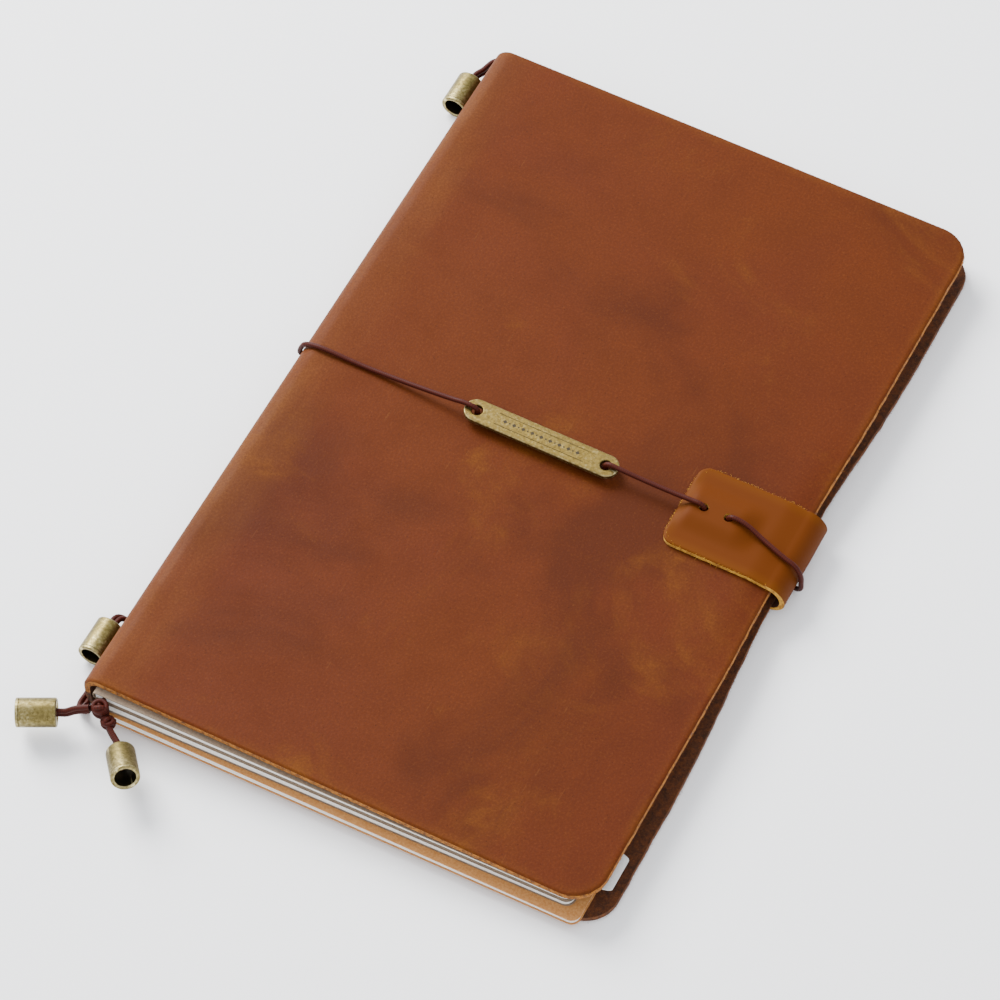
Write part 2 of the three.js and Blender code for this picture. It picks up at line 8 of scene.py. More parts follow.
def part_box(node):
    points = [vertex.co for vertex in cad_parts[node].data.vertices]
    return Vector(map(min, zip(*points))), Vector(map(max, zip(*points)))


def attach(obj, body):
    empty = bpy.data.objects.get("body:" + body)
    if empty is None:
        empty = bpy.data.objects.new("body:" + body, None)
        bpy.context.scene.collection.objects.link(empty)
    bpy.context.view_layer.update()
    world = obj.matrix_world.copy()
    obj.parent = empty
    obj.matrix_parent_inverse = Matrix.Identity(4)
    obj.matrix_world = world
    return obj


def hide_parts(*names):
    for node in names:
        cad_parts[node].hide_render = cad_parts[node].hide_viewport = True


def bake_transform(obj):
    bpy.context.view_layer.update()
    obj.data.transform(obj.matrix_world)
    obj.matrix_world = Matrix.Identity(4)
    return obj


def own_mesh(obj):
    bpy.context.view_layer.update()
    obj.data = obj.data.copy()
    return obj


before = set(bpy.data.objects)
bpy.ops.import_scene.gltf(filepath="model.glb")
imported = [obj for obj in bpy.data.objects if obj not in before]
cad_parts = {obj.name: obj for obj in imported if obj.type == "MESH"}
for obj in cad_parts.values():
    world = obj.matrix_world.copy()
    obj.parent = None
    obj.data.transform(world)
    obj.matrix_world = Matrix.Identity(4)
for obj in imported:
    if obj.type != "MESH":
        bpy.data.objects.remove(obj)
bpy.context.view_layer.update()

mm = 0.001

# The closed book in its own millimetres: x from the outside of the spine to the fore edge, y along the
# spine from the middle of the cover, z up from the table.
frontLow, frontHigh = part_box("front_cover")
backLow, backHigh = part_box("back_cover")
spineLow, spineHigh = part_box("spine_leather")
originX = spineLow.x
originY = (frontLow.y + frontHigh.y) / 2


def toFrame(x, y, z):
    return Vector((originX + x * mm, originY + y * mm, z * mm))


def toBook(point):
    return Vector(((point[0] - originX) / mm, (point[1] - originY) / mm, point[2] / mm))


cover = {
    "height": (frontHigh.y - frontLow.y) / mm,
    "frontLength": 142.0,
    "backLength": 145.0,
    "backTaper": 2.2,
    "leather": 2.0,
    "spineThickness": 14.0,
    "foreThickness": 10.6,
    "bendRadius": 5.0,
    "corner": 9.0,
    "edgeRounding": 0.42,
    "waviness": 0.3,
}
closure = {
    "y": 2.0,
    "cord": 1.4,
    "gap": 0.2,
    "tagStart": 48.0,
    "tagLength": 44.0,
    "tagWidth": 6.8,
    "tagThickness": 1.4,
    "tagHole": 3.0,
    "tagHoleSpacing": 37.0,
    "strapWidth": 25.5,
    "strapLeather": 1.4,
    "strapSkived": 0.8,
    "strapReach": 32.0,
    "strapUnderReach": 14.0,
    "strapHole": 2.5,
    "strapHoleSpacing": 6.9,
    "strapHoleSetback": 6.4,
    "frontEase": 46.0,
    "backEase": 76.0,
    "backPull": 2.5,
}
stack = {"count": 3, "kraft": 0.3, "gap": 0.05, "corner": 2.5, "sheets": 22,
         "askew": 2.4, "foldReach": 1.0}

nearEnd = -cover["height"] / 2
farEnd = cover["height"] / 2
cordRadius = closure["cord"] / 2
underCordZ = cordRadius + 0.1
strapUnderZ = underCordZ + cordRadius + closure["gap"] / 2
strapLift = strapUnderZ + closure["strapSkived"] + closure["gap"] * 0.75
strapStart = cover["frontLength"] - closure["strapReach"]
upperBendZ = cover["spineThickness"] - cover["bendRadius"]


# ---- camera and light
camera = {"azimuth": 29.01, "elevation": 55.97, "roll": -1.96, "distance": 1.2731, "lens": 177.8}
lookAt = toFrame(64.37, -10.74, 0)


def makeCamera():
    a, e, r = (math.radians(camera[k]) for k in ("azimuth", "elevation", "roll"))
    back = Vector((math.sin(a) * math.cos(e), -math.cos(a) * math.cos(e), math.sin(e)))
    right = (-back).cross(Vector((0, 0, 1))).normalized()
    up = back.cross(right)
    turnedRight = math.cos(r) * right + math.sin(r) * up
    turnedUp = math.cos(r) * up - math.sin(r) * right
    data = bpy.data.cameras.new("mainCamera")
    data.lens = camera["lens"]
    data.sensor_width = 36
    eye = bpy.data.objects.new("mainCamera", data)
    bpy.context.scene.collection.objects.link(eye)
    place = Matrix((turnedRight, turnedUp, back)).transposed().to_4x4()
    place.translation = lookAt + back * camera["distance"]
    eye.matrix_world = place
    bpy.context.scene.camera = eye


lights = {
    "window": {"at": (-1.1, 0.55, 1.0), "size": 0.9, "power": 66.0},
    "fill": {"at": (0.7, -1.1, 1.5), "size": 1.6, "power": 6.0},
    "sky": 1.5,
}


def makeLight(name, values):
    data = bpy.data.lights.new(name, "AREA")
    data.size = values["size"]
    data.energy = values["power"]
    lamp = bpy.data.objects.new(name, data)
    bpy.context.scene.collection.objects.link(lamp)
    lamp.location = values["at"]
    lamp.rotation_euler = (-Vector(values["at"])).to_track_quat("-Z", "Y").to_euler()


def makeSky():
    world = bpy.data.worlds.new("paleRoom")
    world.use_nodes = True
    background = world.node_tree.nodes["Background"]
    background.inputs["Color"].default_value = (0.93, 0.95, 1.0, 1)
    background.inputs["Strength"].default_value = lights["sky"]
    bpy.context.scene.world = world


# ---- shader building
def linear(hexColour):
    channels = [int(hexColour[i:i + 2], 16) / 255 for i in (1, 3, 5)]
    return tuple(c / 12.92 if c <= 0.04045 else ((c + 0.055) / 1.055) ** 2.4 for c in channels) + (1.0,)


def addNode(tree, kind, settings=None, **inputs):
    made = tree.nodes.new(kind)
    for key, value in (settings or {}).items():
        setattr(made, key, value)
    for key, value in inputs.items():
        setSocket(tree, made.inputs[key.replace("_", " ")], value)
    return made


def setSocket(tree, socket, value):
    if isinstance(value, bpy.types.NodeSocket):
        tree.links.new(value, socket)
    else:
        socket.default_value = value


def math2(tree, operation, first, second=0.0, third=None):
    made = tree.nodes.new("ShaderNodeMath")
    made.operation = operation
    setSocket(tree, made.inputs[0], first)
    setSocket(tree, made.inputs[1], second)
    if third is not None:
        setSocket(tree, made.inputs[2], third)
    return made.outputs[0]


def mix(tree, factor, first, second, blend="MIX"):
    made = tree.nodes.new("ShaderNodeMix")
    made.data_type = "RGBA"
    made.blend_type = blend
    setSocket(tree, made.inputs[0], factor)
    setSocket(tree, made.inputs[6], first)
    setSocket(tree, made.inputs[7], second)
    return made.outputs[2]


def ramp(tree, value, low, high, start=0.0, end=1.0):
    made = tree.nodes.new("ShaderNodeMapRange")
    made.interpolation_type = "SMOOTHSTEP"
    for i, item in enumerate((value, low, high, start, end)):
        setSocket(tree, made.inputs[i], item)
    return made.outputs[0]


def noiseOf(tree, vector, scale, detail=3.0, roughness=0.55, distortion=0.0):
    made = addNode(tree, "ShaderNodeTexNoise", Vector=vector, Scale=scale, Detail=detail)
    made.inputs["Roughness"].default_value = roughness
    made.inputs["Distortion"].default_value = distortion
    return made.outputs["Fac"]


def newGroup(name, inputs, outputs):
    tree = bpy.data.node_groups.new(name, "ShaderNodeTree")
    for label, kind, value in inputs:
        socket = tree.interface.new_socket(label, in_out="INPUT", socket_type=kind)
        if value is not None:
            socket.default_value = value
    for label, kind in outputs:
        tree.interface.new_socket(label, in_out="OUTPUT", socket_type=kind)
    return tree, tree.nodes.new("NodeGroupInput"), tree.nodes.new("NodeGroupOutput")


def useGroup(tree, group, **inputs):
    made = tree.nodes.new("ShaderNodeGroup")
    made.node_tree = group
    for key, value in inputs.items():
        setSocket(tree, made.inputs[key.replace("_", " ")], value)
    return made


# Cloudy tone for anything that isn't evenly coloured: large drifts with finer ones inside them.
def makeCloudGroup():
    tree, given, result = newGroup(
        "cloudyTone",
        [("Vector", "NodeSocketVector", None), ("Large", "NodeSocketFloat", 0.03),
         ("Small", "NodeSocketFloat", 0.3)],
        [("Broad", "NodeSocketFloat"), ("Fine", "NodeSocketFloat"), ("Streak", "NodeSocketFloat")],
    )
    broad = noiseOf(tree, given.outputs["Vector"], given.outputs["Large"], 4, 0.6, 0.6)
    fine = noiseOf(tree, given.outputs["Vector"], given.outputs["Small"], 5, 0.7)
    stretched = addNode(tree, "ShaderNodeMapping", Vector=given.outputs["Vector"])
    stretched.inputs["Scale"].default_value = (1.0, 0.18, 1.0)
    streak = noiseOf(tree, stretched.outputs[0], given.outputs["Small"], 3, 0.6)
    tree.links.new(ramp(tree, broad, 0.33, 0.68), result.inputs["Broad"])
    tree.links.new(ramp(tree, fine, 0.3, 0.72), result.inputs["Fine"])
    tree.links.new(ramp(tree, streak, 0.42, 0.66), result.inputs["Streak"])
    return tree


# Leather grain: soft cells with creases between them and a few pores. Vector is in millimetres.
def makeGrainGroup():
    tree, given, result = newGroup(
        "leatherGrain",
        [("Vector", "NodeSocketVector", None), ("Cell", "NodeSocketFloat", 1.1)],
        [("Height", "NodeSocketFloat"), ("Pores", "NodeSocketFloat")],
    )
    warp = noiseOf(tree, given.outputs["Vector"], 0.9, 2)
    bent = addNode(tree, "ShaderNodeVectorMath", {"operation": "ADD"})
    tree.links.new(given.outputs["Vector"], bent.inputs[0])
    tree.links.new(warp, bent.inputs[1])
    cells = addNode(tree, "ShaderNodeTexVoronoi", {"feature": "DISTANCE_TO_EDGE"}, Vector=bent.outputs[0],
                    Scale=given.outputs["Cell"])
    crease = ramp(tree, cells.outputs["Distance"], 0.0, 0.22)
    fine = noiseOf(tree, given.outputs["Vector"], 3.5, 4, 0.65)
    pores = addNode(tree, "ShaderNodeTexVoronoi", {"feature": "F1"}, Vector=given.outputs["Vector"],
                    Scale=0.55)
    pit = ramp(tree, pores.outputs["Distance"], 0.05, 0.13)
    height = math2(tree, "ADD", math2(tree, "MULTIPLY", crease, 0.5), math2(tree, "MULTIPLY", fine, 0.5))
    tree.links.new(math2(tree, "MULTIPLY", height, pit), result.inputs["Height"])
    tree.links.new(pit, result.inputs["Pores"])
    return tree


# Scuffs: short hairline scratches lying mostly one way. Vector is in millimetres.
def makeScuffGroup():
    tree, given, result = newGroup(
        "fineScuffs",
        [("Vector", "NodeSocketVector", None), ("Density", "NodeSocketFloat", 0.5)],
        [("Mask", "NodeSocketFloat")],
    )
    masks = []
    for angle, stretch in ((0.5, 0.06), (-0.9, 0.05)):
        turned = addNode(tree, "ShaderNodeMapping", Vector=given.outputs["Vector"])
        turned.inputs["Rotation"].default_value = (0, 0, angle)
        turned.inputs["Scale"].default_value = (1.0, stretch, 1.0)
        lines = noiseOf(tree, turned.outputs[0], 1.6, 2, 0.5)
        masks.append(ramp(tree, lines, 0.69, 0.74))
    patches = noiseOf(tree, given.outputs["Vector"], 0.045, 2)
    allowed = ramp(tree, patches, 0.5, 0.62)
    both = math2(tree, "MAXIMUM", masks[0], masks[1])
    shown = math2(tree, "MULTIPLY", math2(tree, "MULTIPLY", both, allowed), given.outputs["Density"])
    tree.links.new(shown, result.inputs["Mask"])
    return tree


# Worn edges: how strongly a surface point sticks out, broken up so that it isn't an even line.
def makeWearGroup():
    tree, given, result = newGroup(
        "edgeWear",
        [("Vector", "NodeSocketVector", None), ("Low", "NodeSocketFloat", 0.52),
         ("High", "NodeSocketFloat", 0.6)],
        [("Mask", "NodeSocketFloat"), ("Hollow", "NodeSocketFloat")],
    )
    shape = tree.nodes.new("ShaderNodeNewGeometry").outputs["Pointiness"]
    spots = noiseOf(tree, given.outputs["Vector"], 1.4, 4)
    uneven = math2(tree, "MULTIPLY_ADD", spots, 0.06, math2(tree, "SUBTRACT", shape, 0.03))
    tree.links.new(ramp(tree, uneven, given.outputs["Low"], given.outputs["High"]), result.inputs["Mask"])
    tree.links.new(ramp(tree, shape, 0.5, 0.42), result.inputs["Hollow"])
    return tree


cloudyTone = makeCloudGroup()
leatherGrain = makeGrainGroup()
fineScuffs = makeScuffGroup()
edgeWear = makeWearGroup()


def newMaterial(name, **fixed):
    material = bpy.data.materials.new(name)
    material.use_nodes = True
    tree = material.node_tree
    tree.nodes.clear()
    output = tree.nodes.new("ShaderNodeOutputMaterial")
    shader = tree.nodes.new("ShaderNodeBsdfPrincipled")
    tree.links.new(shader.outputs[0], output.inputs[0])
    for key, value in fixed.items():
        shader.inputs[key.replace("_", " ")].default_value = value
    return material, tree, shader


def objectMillimetres(tree):
    coordinates = tree.nodes.new("ShaderNodeTexCoord")
    scaled = addNode(tree, "ShaderNodeVectorMath", {"operation": "SCALE"})
    tree.links.new(coordinates.outputs["Object"], scaled.inputs[0])
    scaled.inputs["Scale"].default_value = 1 / mm
    return scaled.outputs[0]


def attribute(tree, name):
    made = tree.nodes.new("ShaderNodeAttribute")
    made.attribute_name = name
    return made


def bump(tree, shader, height, strength, distance):
    made = addNode(tree, "ShaderNodeBump", Height=height)
    made.inputs["Strength"].default_value = strength
    made.inputs["Distance"].default_value = distance
    tree.links.new(made.outputs[0], shader.inputs["Normal"])


hide = {
    "deep": "#3b1808",
    "body": "#54260a",
    "red": "#51230d",
    "golden": "#64380e",
    "pale": "#6f4521",
    "pore": "#321405",
}


# The grain side of an oiled hide. "place" unrolls it: x counts along the hide from the middle of the spine.
def makeGrainLeather(name, colours, golden, spinePullUpAndHighlight):
    material, tree, shader = newMaterial(name, IOR=1.45)
    place = attribute(tree, "place").outputs["Vector"]
    tone = useGroup(tree, cloudyTone, Vector=place, Large=0.011, Small=0.07)
    colour = mix(tree, tone.outputs["Broad"], linear(colours["body"]), linear(colours["red"]))
    darker = math2(tree, "MULTIPLY", tone.outputs["Fine"], 0.2)
    colour = mix(tree, darker, colour, linear(colours["deep"]))
    clouds = ramp(tree, noiseOf(tree, place, 0.014, 4, 0.6, 0.5), 0.46, 0.66, 0.0, 0.6)
    colour = mix(tree, clouds, colour, linear(colours["deep"]))
    patches = ramp(tree, noiseOf(tree, place, 0.022, 5, 0.65, 0.8), 0.52, 0.74)
    warm = math2(tree, "MULTIPLY", math2(tree, "MULTIPLY", patches, tone.outputs["Fine"]), golden)
    colour = mix(tree, warm, colour, linear(colours["golden"]))
    along = addNode(tree, "ShaderNodeSeparateXYZ", Vector=place)
    distance = math2(tree, "ABSOLUTE", along.outputs["X"])
    # Lighter band along the spine's bend: partly the pull-up lightening of the bent hide, partly a painted
    # highlight where the light catches the bend.
    bend = ramp(tree, distance, 3.0, 24.0, 1.0, 0.0)
    bendPullUpAndHighlight = math2(tree, "MULTIPLY", bend, math2(tree, "MULTIPLY_ADD", tone.outputs["Streak"], 0.6, 0.4))
    colour = mix(tree, math2(tree, "MULTIPLY", bendPullUpAndHighlight, spinePullUpAndHighlight), colour, linear(colours["pale"]))
    edge = attribute(tree, "edge").outputs["Fac"]
    nearEdge = math2(tree, "MULTIPLY", ramp(tree, edge, 3.5, 0.2), tone.outputs["Fine"])
    colour = mix(tree, math2(tree, "MULTIPLY", nearEdge, 0.55), colour, linear(colours["golden"]))
    scuffs = useGroup(tree, fineScuffs, Vector=place, Density=0.22)
    colour = mix(tree, scuffs.outputs["Mask"], colour, linear(colours["pale"]))
    grain = useGroup(tree, leatherGrain, Vector=place, Cell=1.25)
    poreShade = math2(tree, "MULTIPLY", math2(tree, "SUBTRACT", 1.0, grain.outputs["Pores"]), 0.55)
    colour = mix(tree, poreShade, colour, linear(colours["pore"]))
    speckle = noiseOf(tree, place, 1.5, 4, 0.8)
    colour = mix(tree, ramp(tree, speckle, 0.58, 0.42, 0.0, 0.32), colour, linear(colours["deep"]))
    colour = mix(tree, ramp(tree, speckle, 0.56, 0.7, 0.0, 0.25), colour, linear(colours["pale"]))
    tree.links.new(colour, shader.inputs["Base Color"])
    rough = math2(tree, "MULTIPLY_ADD", tone.outputs["Fine"], 0.12, 0.47)
    tree.links.new(math2(tree, "MULTIPLY_ADD", bendPullUpAndHighlight, 0.1, rough), shader.inputs["Roughness"])
    shader.inputs["Specular IOR Level"].default_value = 0.07
    bump(tree, shader, grain.outputs["Height"], 0.28, 0.00012)
    return material


# Cut edges of the hide: loose golden fibres with darker gaps.
def makeRawEdge(name, light, dark):
    material, tree, shader = newMaterial(name, IOR=1.4, Roughness=0.95, Sheen_Weight=0.05,
                                         Sheen_Roughness=0.6)
    place = objectMillimetres(tree)
    coarse = noiseOf(tree, place, 0.9, 5, 0.75)
    colour = mix(tree, ramp(tree, coarse, 0.36, 0.6), linear(dark), linear(light))
    specks = noiseOf(tree, place, 4.0, 4, 0.8)
    colour = mix(tree, ramp(tree, specks, 0.6, 0.75, 0.0, 0.5), colour, linear("#5a3410"))
    tree.links.new(colour, shader.inputs["Base Color"])
    bump(tree, shader, noiseOf(tree, place, 3.0, 5, 0.8), 0.8, 0.0004)
    return material


# The flesh side: brushed nap with lighter and darker drifts.
def makeSuede(name, light, dark):
    material, tree, shader = newMaterial(name, IOR=1.4, Roughness=0.96, Sheen_Weight=0.04,
                                         Sheen_Roughness=0.5)
    place = attribute(tree, "place").outputs["Vector"]
    tone = useGroup(tree, cloudyTone, Vector=place, Large=0.06, Small=0.7)
    colour = mix(tree, tone.outputs["Fine"], linear(dark), linear(light))
    nap = noiseOf(tree, place, 3.2, 5, 0.8)
    colour = mix(tree, ramp(tree, nap, 0.5, 0.72, 0.0, 0.7), colour, linear("#7c450f"))
    tree.links.new(colour, shader.inputs["Base Color"])
    bump(tree, shader, nap, 0.7, 0.0004)
    return material


def makeBrass(name, low, high):
    material, tree, shader = newMaterial(name, IOR=1.6)
    place = objectMillimetres(tree)
    tone = useGroup(tree, cloudyTone, Vector=place, Large=0.16, Small=1.2)
    worn = useGroup(tree, edgeWear, Vector=place, Low=0.515, High=0.57)
    colour = mix(tree, tone.outputs["Fine"], linear(low), linear(high))
    colour = mix(tree, math2(tree, "MULTIPLY", tone.outputs["Broad"], 0.25), colour, linear("#6d5f35"))
    colour = mix(tree, math2(tree, "MULTIPLY", worn.outputs["Mask"], 0.8), colour, linear("#d8cb98"))
    colour = mix(tree, math2(tree, "MULTIPLY", worn.outputs["Hollow"], 0.85), colour, linear("#2c2413"))
    tree.links.new(colour, shader.inputs["Base Color"])
    tree.links.new(math2(tree, "MULTIPLY_ADD", tone.outputs["Fine"], -0.14, 0.5), shader.inputs["Roughness"])
    tree.links.new(math2(tree, "MULTIPLY_ADD", worn.outputs["Hollow"], -0.4, 0.92), shader.inputs["Metallic"])
    bump(tree, shader, noiseOf(tree, place, 7.0, 4, 0.7), 0.2, 0.0001)
    return material


def makeCordMaterial(name, dark, light):
    material, tree, shader = newMaterial(name, IOR=1.45, Specular_IOR_Level=0.15)
    relief = attribute(tree, "relief").outputs["Fac"]
    place = objectMillimetres(tree)
    fibres = noiseOf(tree, place, 5.0, 3, 0.7)
    # Crests of the braid painted lighter and the grooves between strands darker, from the "relief" attribute:
    # painted shade over the fibres' own tone.
    shade = math2(tree, "MULTIPLY_ADD", fibres, 0.5, math2(tree, "MULTIPLY", relief, 0.6))
    colour = mix(tree, ramp(tree, shade, 0.1, 0.85), linear(dark), linear(light))
    tree.links.new(colour, shader.inputs["Base Color"])
    tree.links.new(math2(tree, "MULTIPLY_ADD", fibres, 0.2, 0.42), shader.inputs["Roughness"])
    bump(tree, shader, fibres, 0.3, 0.0001)
    return material


def makePaper(name, colour, shade, lines):
    material, tree, shader = newMaterial(name, IOR=1.45, Roughness=0.92)
    place = objectMillimetres(tree)
    fibres = noiseOf(tree, place, 1.5, 4, 0.7)
    tint = mix(tree, ramp(tree, fibres, 0.35, 0.7, 0.0, lines), linear(colour), linear(shade))
    sheet = attribute(tree, "sheetTone").outputs["Fac"]
    tint = mix(tree, math2(tree, "MULTIPLY", sheet, lines), tint, linear(shade))
    tree.links.new(tint, shader.inputs["Base Color"])
    bump(tree, shader, fibres, 0.12, 0.00005)
    return material


def makeKraft(name, dark, light, fleck):
    material, tree, shader = newMaterial(name, IOR=1.45, Roughness=0.85)
    place = objectMillimetres(tree)
    tone = useGroup(tree, cloudyTone, Vector=place, Large=0.1, Small=1.6)
    colour = mix(tree, tone.outputs["Fine"], linear(dark), linear(light))
    flecks = ramp(tree, noiseOf(tree, place, 3.3, 3, 0.7), 0.66, 0.74, 0.0, 0.6)
    colour = mix(tree, flecks, colour, linear(fleck))
    tree.links.new(colour, shader.inputs["Base Color"])
    bump(tree, shader, tone.outputs["Fine"], 0.15, 0.00005)
    return material


def makeFilm():
    material, tree, shader = newMaterial("clearFilm", IOR=1.5, Roughness=0.14)
    place = objectMillimetres(tree)
    haze = noiseOf(tree, place, 0.3, 3)
    tree.links.new(mix(tree, haze, linear("#f2f5f6"), linear("#dfe4e6")), shader.inputs["Base Color"])
    tree.links.new(math2(tree, "MULTIPLY_ADD", haze, 0.16, 0.22), shader.inputs["Alpha"])
    return material


def makeDarkInlay():
    material, tree, shader = newMaterial("darkInlay", IOR=1.5, Metallic=0.5, Roughness=0.7)
    place = objectMillimetres(tree)
    worn = noiseOf(tree, place, 3.0, 3)
    tree.links.new(mix(tree, worn, linear("#241c0e"), linear("#3d3219")), shader.inputs["Base Color"])
    return material


def makeFloorMaterial():
    material, _, shader = newMaterial("paleFloor", Roughness=0.8)
    shader.inputs["Base Color"].default_value = linear("#ffffff")
    shader.inputs["Specular IOR Level"].default_value = 0.15
    return material


strapHide = dict(hide, body="#5b2d05", red="#542505", golden="#6d4009", pale="#734716", deep="#3f1a04")
# The cover gets the pull-up lightening and painted highlight along the spine's bend; the strap gets none.
grainLeather = makeGrainLeather("coverGrain", hide, 0.9, 0.62)
strapGrain = makeGrainLeather("strapGrain", strapHide, 1.0, 0.0)
rawEdge = makeRawEdge("rawEdge", "#a8670f", "#5c3208")
# The lower cover's cut edge: a darker copy of the same raw edge, painted shade on the edge that lies low by
# the table.
shadedBackRawEdge = makeRawEdge("shadedBackRawEdge", "#6b3a0c", "#3a1c05")
strapRawEdge = makeRawEdge("strapRawEdge", "#d69f30", "#96600f")
suede = makeSuede("fleshSide", "#582b08", "#2c1303")
brass = makeBrass("antiqueBrass", "#544821", "#7f7244")
tagBrass = makeBrass("tagBrass", "#54431a", "#7c6832")
# Near-black brass for the inside of the bead bores: painted shade down the bore.
shadedBoreBrass = makeBrass("shadedBoreBrass", "#1d180c", "#2e2614")
cordFinish = makeCordMaterial("elasticCord", "#140402", "#471508")
insertCordFinish = makeCordMaterial("insertElastic", "#120402", "#3b1207")
paper = makePaper("pagePaper", "#f7f5f0", "#cbc5b8", 0.35)
board = makePaper("dividerBoard", "#e3e3e0", "#c2c1bb", 0.4)
kraftCard = makeKraft("kraftCard", "#a96f36", "#c08a50", "#7c5022")
# The two upper booklets' kraft covers in a darker grey-brown copy: painted shade for the dark lines between
# the stacked page blocks.
gapShadedCard = makeKraft("gapShadedCard", "#6d5c4c", "#86745f", "#4f4032")
clearFilm = makeFilm()
darkInlay = makeDarkInlay()
print("materials ready")


# ---- meshes
def newObject(name, mesh):
    piece = bpy.data.objects.new(name, mesh)
    bpy.context.scene.collection.objects.link(piece)
    return piece


def smoothStep(value, start, end):
    t = min(max((value - start) / (end - start), 0.0), 1.0)
    return t * t * (3 - 2 * t)


def besideClosure(y, flatHalf, outerHalf):
    return 1 - smoothStep(abs(y - closure["y"]), flatHalf, outerHalf)


def frontTop(x, y):
    run = cover["frontLength"] - cover["bendRadius"]
    slope = (cover["spineThickness"] - cover["foreThickness"]) * max((x - cover["bendRadius"]) / run, 0)
    dip = smoothStep(x, cover["frontLength"] - 8, cover["frontLength"])
    dip *= besideClosure(y, closure["strapWidth"] / 2, closure["frontEase"])
    return cover["spineThickness"] - slope - dip


def lift(x, y):
    ridge = strapUnderZ * besideClosure(y, closure["cord"], 30)
    flapEnd = cover["frontLength"] - closure["strapUnderReach"] - 1
    flap = strapLift * smoothStep(x, flapEnd - 13, flapEnd)
    return max(ridge, flap * besideClosure(y, closure["strapWidth"] / 2 + 0.6, closure["frontEase"]))


def raised(x, y, z):
    return z + lift(x, y) * max(1 - z / 4.2, 0)


def layer(share, x, y):
    low = raised(x, y, cover["leather"])
    return low + (frontTop(x, y) - cover["leather"] - low) * share


def foreEdge(y, near, far, fore, corner):
    past = max(near + corner - y, y - (far - corner), 0)
    return fore - corner + math.sqrt(max(corner ** 2 - past ** 2, 0))


def edgeDistance(x, y, near, far, fore, corner):
    inX, inY = fore - x, min(y - near, far - y)
    if inX < corner and inY < corner:
        return corner - math.hypot(corner - inX, corner - inY)
    return min(inX, inY)


# Rows of y, close together at both ends.
def rowsFor(near, far, corner, middle, cornerSteps=14):
    fine = [0, 0.12, 0.3, 0.6, 1.1, 1.9]
    rows = set()
    for step in range(cornerSteps + 1):
        inset = corner * (1 - math.sin(step / cornerSteps * math.pi / 2))
        rows.update((round(near + inset, 4), round(far - inset, 4)))
    for inset in fine:
        rows.update((round(near + inset, 4), round(far - inset, 4)))
    low, high = near + corner, far - corner
    for step in range(1, middle):
        rows.add(round(low + (high - low) * step / middle, 4))
    ordered = sorted(rows)
    kept = [ordered[0]]
    for row in ordered[1:]:
        if row - kept[-1] > 0.05:
            kept.append(row)
    kept[-1] = ordered[-1]
    return kept


def stationsFor(start, edge, count):
    tail = [0, 0.12, 0.3, 0.6, 1.1, 1.9, 3.2, 5, 7.5, 10.5, 14]
    last = edge - tail[-1]
    xs = [start + (last - start) * i / count for i in range(count)]
    return xs + [edge - inset for inset in reversed(tail)]


# A closed shell from one outline for each row of y. An outline's points are (x, z, side, along): out
# along one face, back along the other with as many points, so strips between the two close its ends.
def loft(name, rows, outlineAt, materials, sideOf, openStart=False, smoothAngle=40):
    outlines = [outlineAt(y) for y in rows]
    count = len(outlines[0])
    points = [toFrame(x, y, z) for y, outline in zip(rows, outlines) for x, z, side, along in outline]
    faces, kinds = [], []
    for row in range(len(rows) - 1):
        for i in range(count - 1 if openStart else count):
            j = (i + 1) % count
            faces.append((row * count + i, row * count + j, (row + 1) * count + j, (row + 1) * count + i))
            kinds.append(sideOf(outlines[row][i][2], outlines[row][j][2]))
    for base, flip in ((0, True), ((len(rows) - 1) * count, False)):
        for i in range(count // 2 - 1):
            loop = [base + i, base + i + 1, base + count - 2 - i, base + count - 1 - i]
            faces.append(loop if not flip else loop[::-1])
            kinds.append(1)
    mesh = bpy.data.meshes.new(name)
    mesh.from_pydata(points, [], faces)
    for material in materials:
        mesh.materials.append(material)
    mesh.polygons.foreach_set("material_index", [min(k, len(materials) - 1) for k in kinds])
    place = mesh.attributes.new("place", "FLOAT_VECTOR", "POINT")
    flat = []
    for y, outline in zip(rows, outlines):
        for x, z, side, along in outline:
            flat += [along, y, side]
    place.data.foreach_set("vector", flat)
    mesh.update()
    faceOut(mesh)
    mesh.shade_smooth()
    mesh.set_sharp_from_angle(angle=math.radians(smoothAngle))
    return newObject(name, mesh)


def faceOut(mesh):
    volume = 0.0
    middle = sum((v.co for v in mesh.vertices), Vector()) / len(mesh.vertices)
    for face in mesh.polygons:
        corners = [mesh.vertices[i].co - middle for i in face.vertices]
        for i in range(1, len(corners) - 1):
            volume += corners[0].dot(corners[i].cross(corners[i + 1]))
    if volume < 0:
        mesh.flip_normals()


def setEdgeAttribute(piece, near, far, fore, corner):
    values = []
    for vertex in piece.data.vertices:
        at = toBook(vertex.co)
        values.append(max(edgeDistance(at.x, at.y, near, far, fore, corner), 0))
    piece.data.attributes.new("edge", "FLOAT", "POINT").data.foreach_set("value", values)


def faceSides(first, second):
    if first == 0 and second == 0:
        return 0
    if first == 2 and second == 2:
        return 2
    return 1


# Keeps the hide's slow waves off the closure, where the strap and the cord lie on it.
def wave(x, y, seed):
    free = 1 - besideClosure(y, 16, 40)
    rise = noise.noise(Vector((x * 0.021, y * 0.017, seed))) * 0.5 + 0.5
    return cover["waviness"] * rise * free * smoothStep(x, 8, 40)


def rounding(distance):
    reach = 0.75
    return cover["edgeRounding"] * max(1 - max(distance, 0) / reach, 0) ** 2


def roughness(x, y, z, amount):
    return amount * noise.noise(Vector((x * 1.7, y * 1.7, z * 1.7)))


def arcPoints(centreX, centreZ, radius, start, end, steps):
    return [
        (centreX + radius * math.cos(math.radians(start + (end - start) * i / steps)),
         centreZ + radius * math.sin(math.radians(start + (end - start) * i / steps)))
        for i in range(steps + 1)
    ]


